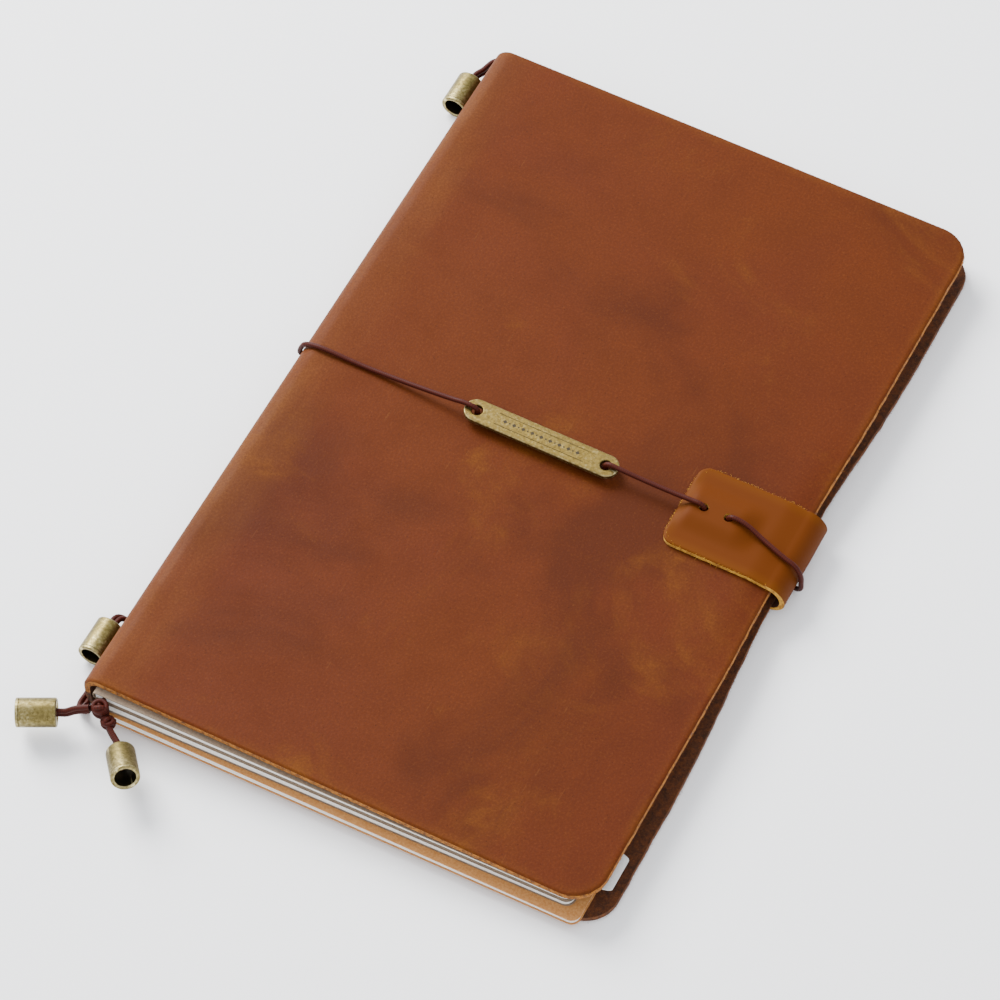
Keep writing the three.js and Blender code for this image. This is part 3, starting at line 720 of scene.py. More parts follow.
def addAlong(points, sign, side):
    total, last, made = 0.0, None, []
    for x, z in points:
        if last:
            total += math.hypot(x - last[0], z - last[1])
        last = (x, z)
        made.append((x, z, side, sign * total))
    return made


# How far the closure and the cut draw a fore edge back.
def edgePull(y, upper):
    if upper:
        return besideClosure(y, closure["strapWidth"] / 2, closure["frontEase"])
    taper = cover["backTaper"] * (y - nearEnd) / cover["height"]
    return closure["backPull"] * besideClosure(y, closure["strapWidth"] / 2, closure["backEase"]) + taper


# Half of the hide, from the middle of the spine to a fore edge. Side 0 is the grain, 2 the flesh.
def hideOutline(y, upper):
    length = cover["frontLength"] if upper else cover["backLength"]
    pull = edgePull(y, upper)
    edge = foreEdge(y, nearEnd, farEnd, length, cover["corner"]) - pull
    ragged = edge + roughness(3, y, length, 0.14)
    xs = stationsFor(cover["bendRadius"], ragged, 62)[1:]
    radius, thick = cover["bendRadius"], cover["leather"]
    middle = cover["spineThickness"] / 2
    distance = [edgeDistance(x, y, nearEnd, farEnd, length - pull, cover["corner"]) for x in xs]
    nearRow = rounding(min(y - nearEnd, farEnd - y))
    if upper:
        outerBend = arcPoints(radius, upperBendZ, radius - nearRow, 180, 90, 12)
        innerBend = arcPoints(radius, upperBendZ, radius - thick, 180, 90, 12)
        outer = [(0 + nearRow, middle), (0 + nearRow, middle + 1)] + outerBend
        outer += [(x, frontTop(x, y) + wave(x, y, 2) - rounding(d)) for x, d in zip(xs, distance)]
        inner = [(thick, middle), (thick, middle + 1)] + innerBend
        inner += [(x, frontTop(x, y) - thick + wave(x, y, 2)) for x in xs]
    else:
        outerBend = arcPoints(radius, radius, radius - nearRow, 180, 270, 12)
        innerBend = arcPoints(radius, radius, radius - thick, 180, 270, 12)
        outer = [(0 + nearRow, middle), (0 + nearRow, middle - 1)] + outerBend
        outer += [(x, rounding(d)) for x, d in zip(xs, distance)]
        inner = [(thick, middle), (thick, middle - 1)] + innerBend
        inner += [(x, thick) for x in xs]
        outer = [(x, raised(x, y, z)) for x, z in outer]
        inner = [(x, raised(x, y, z)) for x, z in inner]
    sign = 1 if upper else -1
    outline = addAlong(outer, sign, 0)
    back = addAlong(inner, sign, 2)[::-1]
    topX, topZ = outline[-1][:2]
    lowX, lowZ = back[0][:2]
    for share in (0.25, 0.5, 0.75, 1.0)[:2]:
        t = share * 4 / 3
        bulge = 0.16 + roughness(share * 9, y, 5, 0.22)
        x = topX + (lowX - topX) * t + bulge
        outline.append((x, topZ + (lowZ - topZ) * t, 1, outline[-1][3]))
    return outline + back


def makeHide(upper):
    name = "hideUpper" if upper else "hideLower"
    rows = rowsFor(nearEnd, farEnd, cover["corner"], 74)
    # The lower cover's cut edge takes the darker copy: painted shade.
    finishes = [grainLeather, rawEdge if upper else shadedBackRawEdge, suede]
    piece = loft(name, rows, lambda y: hideOutline(y, upper), finishes, faceSides, openStart=True)
    length = cover["frontLength"] if upper else cover["backLength"]
    setEdgeAttribute(piece, nearEnd, farEnd, length, cover["corner"])
    return piece


# ---- inserts
insertBox = {}
for number in range(1, stack["count"] + 1):
    low, high = (toBook(corner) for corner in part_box(f"insert_{number}_cover"))
    insertBox[number] = {"near": low.y, "far": high.y, "fore": high.x, "fold": low.x}


def insertBounds(number, inset):
    low = (stack["count"] - number) / stack["count"]
    high = low + 1 / stack["count"]
    below = stack["gap"] + inset + (0.35 if number == 1 else 0)
    above = stack["gap"] + inset + (0.3 if number == 1 else 0)
    return (lambda x, y: layer(low, x, y) + below), (lambda x, y: layer(high, x, y) - above)


def kraftOutline(number, y):
    size = insertBox[number]
    edge = foreEdge(y, size["near"], size["far"], size["fore"], stack["corner"])
    low, high = insertBounds(number, 0)
    innerLow, innerHigh = insertBounds(number, stack["kraft"])
    xs = stationsFor(size["fold"] + 0.9, edge, 40)
    outer = [(x, low(x, y), 0, x) for x in reversed(xs)]
    outer += foldArc(size["fold"], low, high, y, 0.0)
    outer += [(x, high(x, y), 0, x) for x in xs]
    inner = [(x, innerHigh(x, y), 2, x) for x in reversed(xs)]
    inner += foldArc(size["fold"], low, high, y, stack["kraft"])[::-1]
    inner += [(x, innerLow(x, y), 2, x) for x in xs]
    return outer + inner


# The folded edge of a booklet: its corners are rounded, not square.
def foldArc(fold, low, high, y, inset):
    made = []
    bottom, top = low(fold + 0.9, y) + inset, high(fold + 0.9, y) - inset
    for step in range(1, 6):
        angle = math.radians(-90 + 30 * step)
        x = fold + 0.9 - (0.9 - inset) * math.cos(angle)
        z = (bottom + top) / 2 + (top - bottom) / 2 * math.copysign(abs(math.sin(angle)) ** 0.7, angle)
        made.append((x, z, 0, x))
    return made


# The upper booklets lie a little askew, and the top one's fold reaches into the bend of the cover.
def settle(piece, number):
    if number == stack["count"]:
        return
    for vertex in piece.data.vertices:
        at = toBook(vertex.co)
        fromFore = 1 - min(max(at.x / insertBox[number]["fore"], 0), 1)
        shiftY = -stack["askew"] * fromFore * min(max((nearEnd + 22 - at.y) / 20, 0), 1)
        shiftX = 0.0
        if number == 1:
            shiftX = -stack["foldReach"] * max(1 - (at.x - insertBox[1]["fold"]) / 14, 0)
        vertex.co += Vector((shiftX * mm, shiftY * mm, 0))


def makeKraftCover(number):
    size = insertBox[number]
    # The lowest booklet shows its kraft; the others take the darker copy, painted shade between the page
    # blocks.
    card = kraftCard if number == stack["count"] else gapShadedCard
    rows = rowsFor(size["near"], size["far"], stack["corner"], 44, 6)
    return loft(f"kraftCover{number}", rows, lambda y: kraftOutline(number, y), [card] * 3, faceSides)


# ---- geometry nodes
def geometryTree(name, inputs):
    tree = bpy.data.node_groups.new(name, "GeometryNodeTree")
    tree.interface.new_socket("Geometry", in_out="INPUT", socket_type="NodeSocketGeometry")
    for label, kind, value in inputs:
        socket = tree.interface.new_socket(label, in_out="INPUT", socket_type=kind)
        if value is not None:
            socket.default_value = value
    tree.interface.new_socket("Geometry", in_out="OUTPUT", socket_type="NodeSocketGeometry")
    return tree, tree.nodes.new("NodeGroupInput"), tree.nodes.new("NodeGroupOutput")


def geoNode(tree, kind, settings=None, **inputs):
    made = tree.nodes.new(kind)
    for key, value in (settings or {}).items():
        setattr(made, key, value)
    for key, value in inputs.items():
        setSocket(tree, made.inputs[key.replace("_", " ")], value)
    return made


def store(tree, geometry, name, kind, domain, value):
    made = geoNode(tree, "GeometryNodeStoreNamedAttribute", {"data_type": kind, "domain": domain})
    tree.links.new(geometry, made.inputs["Geometry"])
    made.inputs["Name"].default_value = name
    setSocket(tree, made.inputs["Value"], value)
    return made.outputs[0]


def named(tree, name, kind="FLOAT"):
    made = geoNode(tree, "GeometryNodeInputNamedAttribute", {"data_type": kind})
    made.inputs["Name"].default_value = name
    return made.outputs[0]


def finishTree(tree, geometry, given, result):
    real = geoNode(tree, "GeometryNodeRealizeInstances")
    tree.links.new(geometry, real.inputs[0])
    painted = geoNode(tree, "GeometryNodeSetMaterial", Geometry=real.outputs[0],
                      Material=given.outputs["Material"])
    tree.links.new(painted.outputs[0], result.inputs[0])


# Runs a tree on a mesh or curve, and gives back a plain mesh object.
def runTree(name, source, tree, values):
    holder = newObject(name + "Source", source)
    modifier = holder.modifiers.new("shape", "NODES")
    modifier.node_group = tree
    identifiers = {i.name: i.identifier for i in tree.interface.items_tree if i.in_out == "INPUT"}
    for key, value in values.items():
        modifier[identifiers[key]] = value
    graph = bpy.context.evaluated_depsgraph_get()
    mesh = bpy.data.meshes.new_from_object(holder.evaluated_get(graph))
    mesh.name = name
    bpy.data.objects.remove(holder)
    return newObject(name, mesh)


# Sheets between a booklet's two faces. Every point of the sheet knows its lowest and highest place.
def makePagesTree():
    tree, given, result = geometryTree(
        "pageSheets",
        [("Sheets", "NodeSocketInt", 20), ("Jitter", "NodeSocketFloat", 0.0002),
         ("Fill", "NodeSocketFloat", 0.7), ("Seed", "NodeSocketInt", 3),
         ("Material", "NodeSocketMaterial", None)],
    )
    line = geoNode(tree, "GeometryNodeMeshLine", Count=given.outputs["Sheets"])
    line.inputs["Offset"].default_value = (0, 0, 0)
    index = geoNode(tree, "GeometryNodeInputIndex").outputs[0]
    share = math2(tree, "DIVIDE", index, given.outputs["Sheets"])
    toned = geoNode(tree, "FunctionNodeRandomValue", {"data_type": "FLOAT"}, Seed=given.outputs["Seed"])
    points = store(tree, line.outputs[0], "share", "FLOAT", "POINT", share)
    points = store(tree, points, "sheetTone", "FLOAT", "POINT", toned.outputs[1])
    shift = geoNode(tree, "FunctionNodeRandomValue", {"data_type": "FLOAT_VECTOR"},
                    Seed=math2(tree, "ADD", given.outputs["Seed"], 7))
    away = math2(tree, "MULTIPLY", given.outputs["Jitter"], -1.0)
    low = geoNode(tree, "ShaderNodeCombineXYZ", X=away, Y=0.0)
    high = geoNode(tree, "ShaderNodeCombineXYZ", X=0.0, Y=given.outputs["Jitter"])
    tree.links.new(low.outputs[0], shift.inputs[0])
    tree.links.new(high.outputs[0], shift.inputs[1])
    moved = geoNode(tree, "GeometryNodeSetPosition", Geometry=points, Offset=shift.outputs[0])
    copies = geoNode(tree, "GeometryNodeInstanceOnPoints", Points=moved.outputs[0],
                     Instance=given.outputs["Geometry"])
    real = geoNode(tree, "GeometryNodeRealizeInstances", Geometry=copies.outputs[0])
    spread = math2(tree, "SUBTRACT", named(tree, "high"), named(tree, "low"))
    step = math2(tree, "DIVIDE", given.outputs["Fill"], given.outputs["Sheets"])
    height = math2(tree, "MULTIPLY_ADD", named(tree, "side"), step, named(tree, "share"))
    rise = geoNode(tree, "ShaderNodeCombineXYZ", Z=math2(tree, "MULTIPLY", spread, height))
    raisedSheets = geoNode(tree, "GeometryNodeSetPosition", Geometry=real.outputs[0], Offset=rise.outputs[0])
    finishTree(tree, raisedSheets.outputs[0], given, result)
    return tree


# A braided cord along a line: the section's radius rises and falls where the strands cross.
def makeCordTree():
    tree, given, result = geometryTree(
        "braidedCord",
        [("Diameter", "NodeSocketFloat", 0.0014), ("Step", "NodeSocketFloat", 0.00018),
         ("Pitch", "NodeSocketFloat", 0.0011), ("Strands", "NodeSocketFloat", 4.0),
         ("Relief", "NodeSocketFloat", 0.00005), ("Sides", "NodeSocketInt", 14),
         ("Material", "NodeSocketMaterial", None)],
    )
    line = geoNode(tree, "GeometryNodeMeshToCurve", Mesh=given.outputs["Geometry"])
    even = geoNode(tree, "GeometryNodeResampleCurve", {"mode": "LENGTH"}, Curve=line.outputs[0],
                   Length=given.outputs["Step"])
    along = geoNode(tree, "GeometryNodeSplineParameter")
    rail = store(tree, even.outputs[0], "along", "FLOAT", "POINT", along.outputs["Length"])
    ring = geoNode(tree, "GeometryNodeCurvePrimitiveCircle", Resolution=given.outputs["Sides"])
    tree.links.new(math2(tree, "DIVIDE", given.outputs["Diameter"], 2.0), ring.inputs["Radius"])
    around = geoNode(tree, "GeometryNodeSplineParameter")
    section = store(tree, ring.outputs[0], "around", "FLOAT", "POINT", around.outputs["Factor"])
    tube = geoNode(tree, "GeometryNodeCurveToMesh", Curve=rail, Profile_Curve=section)
    tube.inputs["Fill Caps"].default_value = True
    run = math2(tree, "DIVIDE", named(tree, "along"), given.outputs["Pitch"])
    turn = math2(tree, "MULTIPLY", named(tree, "around"), given.outputs["Strands"])
    waves = []
    for operation in ("ADD", "SUBTRACT"):
        phase = math2(tree, "MULTIPLY", math2(tree, operation, run, turn), 2 * math.pi)
        waves.append(math2(tree, "SINE", phase))
    relief = math2(tree, "MULTIPLY", waves[0], waves[1])
    shape = store(tree, tube.outputs[0], "relief", "FLOAT", "POINT",
                  math2(tree, "MULTIPLY_ADD", relief, 0.5, 0.5))
    normal = geoNode(tree, "GeometryNodeInputNormal").outputs[0]
    push = geoNode(tree, "ShaderNodeVectorMath", {"operation": "SCALE"})
    tree.links.new(normal, push.inputs[0])
    tree.links.new(math2(tree, "MULTIPLY", relief, given.outputs["Relief"]), push.inputs["Scale"])
    moved = geoNode(tree, "GeometryNodeSetPosition", Geometry=shape, Offset=push.outputs[0])
    soft = geoNode(tree, "GeometryNodeSetShadeSmooth", Geometry=moved.outputs[0])
    finishTree(tree, soft.outputs[0], given, result)
    return tree


# Loose fibres standing out of a cut edge, along a line of points.
def makeFibreTree():
    tree, given, result = geometryTree(
        "looseFibres",
        [("Count", "NodeSocketInt", 1000), ("Length", "NodeSocketFloat", 0.0005),
         ("Thickness", "NodeSocketFloat", 0.00004), ("Depth", "NodeSocketFloat", 0.0008),
         ("Seed", "NodeSocketInt", 5), ("Material", "NodeSocketMaterial", None)],
    )
    line = geoNode(tree, "GeometryNodeMeshToCurve", Mesh=given.outputs["Geometry"])
    points = geoNode(tree, "GeometryNodeCurveToPoints", {"mode": "COUNT"}, Curve=line.outputs[0],
                     Count=given.outputs["Count"])
    scatter = geoNode(tree, "FunctionNodeRandomValue", {"data_type": "FLOAT_VECTOR"},
                      Seed=given.outputs["Seed"])
    scatter.inputs[0].default_value = (-0.25, -0.25, -1)
    scatter.inputs[1].default_value = (0.25, 0.25, 1)
    spread = geoNode(tree, "ShaderNodeVectorMath", {"operation": "SCALE"})
    tree.links.new(scatter.outputs[0], spread.inputs[0])
    tree.links.new(given.outputs["Depth"], spread.inputs["Scale"])
    moved = geoNode(tree, "GeometryNodeSetPosition", Geometry=points.outputs[0], Offset=spread.outputs[0])
    hair = geoNode(tree, "GeometryNodeMeshCone", Vertices=3, Radius_Bottom=given.outputs["Thickness"],
                   Depth=given.outputs["Length"])
    turn = geoNode(tree, "FunctionNodeRandomValue", {"data_type": "FLOAT_VECTOR"},
                   Seed=math2(tree, "ADD", given.outputs["Seed"], 1))
    turn.inputs[0].default_value = (-2.4, -2.4, 0)
    turn.inputs[1].default_value = (2.4, 2.4, 6.28)
    size = geoNode(tree, "FunctionNodeRandomValue", {"data_type": "FLOAT"},
                   Seed=math2(tree, "ADD", given.outputs["Seed"], 2))
    size.inputs[2].default_value = 0.4
    size.inputs[3].default_value = 1.3
    hairs = geoNode(tree, "GeometryNodeInstanceOnPoints", Points=moved.outputs[0], Instance=hair.outputs[0],
                    Rotation=turn.outputs[0], Scale=size.outputs[1])
    finishTree(tree, hairs.outputs[0], given, result)
    return tree


# A row of small flat studs between two points.
def makeStudTree():
    tree, given, result = geometryTree(
        "studRow",
        [("Count", "NodeSocketInt", 9), ("Start", "NodeSocketVector", None),
         ("Pace", "NodeSocketVector", None),
         ("Radius", "NodeSocketFloat", 0.0004), ("Depth", "NodeSocketFloat", 0.00005),
         ("Slope", "NodeSocketFloat", 0.0), ("Sides", "NodeSocketInt", 4),
         ("Material", "NodeSocketMaterial", None)],
    )
    row = geoNode(tree, "GeometryNodeMeshLine", Count=given.outputs["Count"], Offset=given.outputs["Pace"],
                  Start_Location=given.outputs["Start"])
    stud = geoNode(tree, "GeometryNodeMeshCylinder", Vertices=given.outputs["Sides"],
                   Radius=given.outputs["Radius"], Depth=given.outputs["Depth"])
    lean = geoNode(tree, "ShaderNodeCombineXYZ", Y=given.outputs["Slope"])
    studs = geoNode(tree, "GeometryNodeInstanceOnPoints", Points=row.outputs[0], Instance=stud.outputs[0],
                    Rotation=lean.outputs[0])
    finishTree(tree, studs.outputs[0], given, result)
    return tree


pagesTree = makePagesTree()
cordTree = makeCordTree()
fibreTree = makeFibreTree()
studTree = makeStudTree()


def lineMesh(name, points):
    mesh = bpy.data.meshes.new(name)
    mesh.from_pydata(points, [(i, i + 1) for i in range(len(points) - 1)], [])
    return mesh


# One smooth line through given points.
def smoothRoute(points, spacing=0.25):
    given = [Vector(p) for p in points]
    ends = [2 * given[0] - given[1]] + given + [2 * given[-1] - given[-2]]
    made = []
    for i in range(1, len(ends) - 2):
        p0, p1, p2, p3 = ends[i - 1:i + 3]
        t0 = 0.0
        t1 = t0 + max((p1 - p0).length, 1e-6) ** 0.5
        t2 = t1 + max((p2 - p1).length, 1e-6) ** 0.5
        t3 = t2 + max((p3 - p2).length, 1e-6) ** 0.5
        steps = max(int((p2 - p1).length / spacing), 2)
        for step in range(steps):
            t = t1 + (t2 - t1) * step / steps
            a1 = p0.lerp(p1, (t - t0) / (t1 - t0))
            a2 = p1.lerp(p2, (t - t1) / (t2 - t1))
            a3 = p2.lerp(p3, (t - t2) / (t3 - t2))
            b1 = a1.lerp(a2, (t - t0) / (t2 - t0))
            b2 = a2.lerp(a3, (t - t1) / (t3 - t1))
            made.append(b1.lerp(b2, (t - t1) / (t2 - t1)))
    made.append(given[-1])
    return made


def makeCord(name, route, diameter, material, relief=0.045, smoothed=True):
    points = smoothRoute(route) if smoothed else [Vector(p) for p in route]
    source = lineMesh(name + "Line", [toFrame(*p) for p in points])
    values = {"Diameter": (diameter - relief) * mm, "Relief": relief * mm, "Material": material,
              "Pitch": diameter * 0.8 * mm, "Step": diameter * 0.13 * mm}
    return runTree(name, source, cordTree, values)


# ---- pages
def makePages(number):
    size = insertBox[number]
    inset = 0.35
    near, far, fore = size["near"] + 0.15, size["far"] - 0.15, size["fore"] - 0.3
    rows = rowsFor(near, far, 2.2, 14, 3)
    low, high = insertBounds(number, stack["kraft"] + 0.03)
    points, lows, highs, sides = [], [], [], []
    count = 0
    for y in rows:
        edge = foreEdge(y, near, far, fore, 2.2)
        start = size["fold"] + inset + 0.6
        xs = [start + (edge - start) * t for t in (0, 0.3, 0.6, 0.76, 0.84, 0.9, 0.95, 0.985, 1)]
        count = 2 * len(xs)
        for side, run in ((0, xs), (1, xs[::-1])):
            for x in run:
                points.append(toFrame(x, y, low(x, y)))
                lows.append(low(x, y) * mm)
                highs.append(high(x, y) * mm)
                sides.append(side)
    faces = []
    for row in range(len(rows) - 1):
        for i in range(count):
            j = (i + 1) % count
            faces.append((row * count + i, (row + 1) * count + i, (row + 1) * count + j, row * count + j))
    for base, flip in ((0, False), ((len(rows) - 1) * count, True)):
        for i in range(count // 2 - 1):
            loop = [base + i, base + i + 1, base + count - 2 - i, base + count - 1 - i]
            faces.append(loop[::-1] if flip else loop)
    mesh = bpy.data.meshes.new(f"sheet{number}")
    mesh.from_pydata(points, [], faces)
    for key, values in (("low", lows), ("high", highs), ("side", sides)):
        mesh.attributes.new(key, "FLOAT", "POINT").data.foreach_set("value", values)
    values = {"Sheets": stack["sheets"], "Jitter": 0.28 * mm, "Fill": 0.82, "Seed": 10 + number,
              "Material": paper}
    return runTree(f"pages{number}", mesh, pagesTree, values)


# ---- thin sheets: divider and clear pocket
def makeSheet(name, low, thickness, near, far, start, edgeAt, extraRows, material):
    rows = sorted(set(rowsFor(near, far, 2.5, 40, 6)) | set(extraRows))

    def outline(y):
        xs = stationsFor(start, edgeAt(y), 36)
        outward = [(x, low(x, y) + thickness, 0, x) for x in xs]
        return outward + [(x, low(x, y), 2, x) for x in reversed(xs)]

    return loft(name, rows, outline, [material] * 3, faceSides)


def makeDivider():
    low, high = (toBook(corner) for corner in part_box("index_divider"))
    reach, tabNear, tabLength = 7.3, nearEnd + 7.2, 12.0
    fore = high.x - reach

    def edgeAt(y):
        chamfer = 1.5
        inTab = min(max(min(y - tabNear, tabNear + tabLength - y) / chamfer, 0), 1)
        rounded = math.sqrt(max(1 - (1 - inTab) ** 2, 0)) if inTab > 0 else 0
        return foreEdge(y, low.y, high.y, fore, 2.5) + reach * rounded

    steps = [0.0, 0.02, 0.1, 0.25, 0.45, 0.75, 1.1, 1.5]
    extra = [tabNear + s for s in steps] + [tabNear + tabLength - s for s in steps]
    bottom = lambda x, y: layer(2 / 3, x, y) + 0.1
    return makeSheet("indexDivider", bottom, 0.25, low.y, high.y, low.x, edgeAt, extra, board)


def makePocket():
    low, high = (toBook(corner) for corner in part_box("clear_pocket"))
    bottom = lambda x, y: frontTop(x, y) - cover["leather"] - 0.25
    edgeAt = lambda y: foreEdge(y, low.y, high.y, high.x, 2.5)
    return makeSheet("clearPocket", bottom, 0.2, low.y, high.y, low.x, edgeAt, [], clearFilm)


# ---- closure routes
def over(x, height, y=None):
    y = closure["y"] if y is None else y
    return (x, y, frontTop(x, y) + height)


onLeather = cordRadius + closure["gap"] * 0.5
tagLift = closure["cord"] + 2 * closure["gap"]
tagTop = tagLift + closure["tagThickness"]
tagStart, tagEnd = closure["tagStart"], closure["tagStart"] + closure["tagLength"]
tagCentre = (tagStart + tagEnd) / 2
tagHoleA = tagCentre - closure["tagHoleSpacing"] / 2
tagHoleB = tagCentre + closure["tagHoleSpacing"] / 2
strapHoleA = strapStart + closure["strapHoleSetback"]
strapHoleB = strapHoleA + closure["strapHoleSpacing"]
strapLow = closure["gap"]
strapHigh = closure["cord"] + 2 * closure["gap"]
overTag = tagTop + onLeather
overStrap = closure["strapLeather"] + onLeather
holeZ = cover["spineThickness"] / 2
besideSpine = -cordRadius - closure["gap"] / 2

spineUpRoute = [
    (1.7, 2, holeZ + 0.8), (0.6, 2, holeZ + 0.9), (besideSpine, 2, holeZ + 1.9),
    (besideSpine + 0.6, 2, 11.6), (1.0, 2, 13.5), (5, 2, 14 + onLeather),
    over(14, onLeather), over(15, onLeather),
]
spineDownRoute = [
    (1.7, 2, holeZ - 0.8), (0.6, 2, holeZ - 0.9), (besideSpine, 2, holeZ - 1.8), (besideSpine + 0.5, 2, 3.4),
    (0.9, 2, 1.7), (3, 2, underCordZ + 0.1), (14, 2, underCordZ), (15, 2, underCordZ),
]
toTagRoute = [
    over(14.5, onLeather), over(18, onLeather), over(26, onLeather + 0.45), over(35, onLeather + 1.35),
    over(tagStart - 4, overTag - 0.7), over(tagStart - 0.4, overTag), over(tagHoleA - 1, overTag),
    over(tagHoleA, tagTop), over(tagHoleA, tagLift - 0.1), over(tagHoleA + 1.2, onLeather + 0.05),
    over(tagHoleA + 4, onLeather), over(tagCentre, onLeather),
]
toStrapRoute = [
    over(tagCentre, onLeather), over(tagHoleB - 4, onLeather), over(tagHoleB - 1.2, onLeather + 0.05),
    over(tagHoleB, tagLift - 0.1), over(tagHoleB, tagTop), over(tagHoleB + 1, overTag),
    over(tagEnd + 0.4, overTag), over(tagEnd + 6, overTag - 0.25), over(tagEnd + 12, overTag - 0.3),
    over(strapStart - 0.6, overTag - 0.2), over(strapStart + 3, strapHigh + overStrap),
    over(strapHoleA - 0.9, strapHigh + overStrap),
    over(strapHoleA, strapHigh + closure["strapLeather"] - 0.2), over(strapHoleA, strapHigh - 0.2),
    over(strapHoleA + 1.2, onLeather + 0.05), over(strapHoleA + 3.4, onLeather),
]
strapBendStart = cover["frontLength"] - 2.0
strapBendReach = 3.9
outside = strapBendStart + strapBendReach + closure["strapLeather"] + closure["gap"] / 2 + cordRadius
topOfStrap = strapLow + overStrap
aroundRoute = [
    over(strapHoleA + 3.4, onLeather), over(strapHoleB - 1.2, onLeather + 0.05),
    over(strapHoleB, strapHigh - 0.2), over(strapHoleB, strapHigh + closure["strapLeather"] - 0.2),
    over(strapHoleB + 0.9, strapHigh + overStrap),
    over(strapHoleB + 3.5, strapHigh + overStrap), over(strapHoleB + 6.2, topOfStrap + 1.15, 1.6),
    over(strapHoleB + 9.6, topOfStrap + 0.3, 0.7), over(140, topOfStrap + 0.3, -1.4),
    (144.1, -2.2, 11.5), (outside - 0.2, -2.7, 9.2), (outside + 0.1, -2.8, 6), (outside - 0.2, -2.4, 3),
    (outside - 2, -1.6, underCordZ + 0.15), (outside - 6, -0.4, underCordZ), (outside - 20, 1.7, underCordZ),
    (outside - 30, 2, underCordZ), (90, 2, underCordZ),
]
underRoute = [(127, 2, underCordZ), (100, 2, underCordZ), (60, 2, underCordZ), (14.5, 2, underCordZ)]


# ---- closure strap
def strapUnderside(x, y):
    raisedPart = smoothStep(x, strapStart, strapStart + 3.6)
    raisedPart *= 1 - smoothStep(x, strapHoleB + 2.4, strapHoleB + 9)
    return frontTop(x, y) + strapLow + (strapHigh - strapLow) * raisedPart * besideClosure(y, 2.4, 8.5)


strapCorner = 3.2


def strapOutline(y):
    near, far = closure["y"] - closure["strapWidth"] / 2, closure["y"] + closure["strapWidth"] / 2
    past = max(near + strapCorner - y, y - (far - strapCorner), 0)
    cutBack = strapCorner - math.sqrt(max(strapCorner ** 2 - past ** 2, 0))
    start = strapStart + cutBack + roughness(y, 4, 1, 0.12)
    slack = 0.12 * math.sin(y * 0.35)
    xs = [start, start + 0.12, start + 0.3, start + 0.6, start + 1.1]
    xs += [xs[-1] + (strapBendStart - 0.4 - xs[-1]) * i / 34 for i in range(1, 35)]
    thick, skived = closure["strapLeather"], closure["strapSkived"]
    topZ, lowZ = strapUnderside(strapBendStart, y), strapUnderZ + skived
    middle, half = (topZ + lowZ) / 2, (topZ - lowZ) / 2
    bend = arcPoints(0, 0, 1, 90, -90, 24)
    inner = [(strapBendStart + u * strapBendReach, middle + v * half) for u, v in bend]
    outer = [
        (strapBendStart + u * (strapBendReach + thick + slack * 0.3),
         middle + v * (half + (thick if v > 0 else skived)))
        for u, v in bend
    ]
    endX = cover["frontLength"] - closure["strapUnderReach"]
    runBack = [strapBendStart - (strapBendStart - endX) * i / 12 for i in range(1, 13)]
    ends = min(y - near, far - y)
    soft = lambda x: 0.3 * max(1 - min(ends, x - start) / 0.6, 0) ** 2
    top = [(x, strapUnderside(x, y) + thick - soft(x)) for x in xs] + outer
    top += [(x, strapUnderZ) for x in runBack]
    low = [(x, strapUnderside(x, y)) for x in xs] + inner + [(x, lowZ) for x in runBack]
    grain = addAlong(top, 1, 0)
    flesh = addAlong(low, 1, 2)[::-1]
    return grain + flesh


def makeStrap():
    near, far = closure["y"] - closure["strapWidth"] / 2, closure["y"] + closure["strapWidth"] / 2
    rows = rowsFor(near, far, strapCorner, 34, 10)
    piece = loft("closureStrap", rows, strapOutline, [strapGrain, strapRawEdge, suede], faceSides)
    for x in (strapHoleA, strapHoleB):
        punch(piece, over(x, strapHigh + 0.6), closure["strapHole"] / 2)
    values = []
    for vertex in piece.data.vertices:
        at = toBook(vertex.co)
        values.append(max(min(at.y - near, far - at.y, at.x - strapStart), 0))
    piece.data.attributes.new("edge", "FLOAT", "POINT").data.foreach_set("value", values)
    return piece


def punch(piece, at, radius):
    points = []
    for z in (-2.2, 3.5):
        for i in range(28):
            angle = 2 * math.pi * i / 28
            x, y = at[0] + radius * math.cos(angle), at[1] + radius * math.sin(angle)
            points.append(toFrame(x, y, at[2] + z))
    faces = [(i, (i + 1) % 28, 28 + (i + 1) % 28, 28 + i) for i in range(28)]
    faces += [tuple(reversed(range(28))), tuple(range(28, 56))]
    mesh = bpy.data.meshes.new("punch")
    mesh.from_pydata(points, [], faces)
    mesh.materials.append(strapRawEdge)
    tool = newObject("punch", mesh)
    modifier = piece.modifiers.new("hole", "BOOLEAN")
    modifier.object = tool
    modifier.operation = "DIFFERENCE"
    modifier.solver = "EXACT"
    modifier.material_mode = "TRANSFER"
    graph = bpy.context.evaluated_depsgraph_get()
    cut = bpy.data.meshes.new_from_object(piece.evaluated_get(graph))
    piece.modifiers.clear()
    piece.data = cut
    cut.set_sharp_from_angle(angle=math.radians(40))
    bpy.data.objects.remove(tool)


# ---- brass tag
tag = {"bevel": 0.32, "studs": 9, "studPace": 2.6}


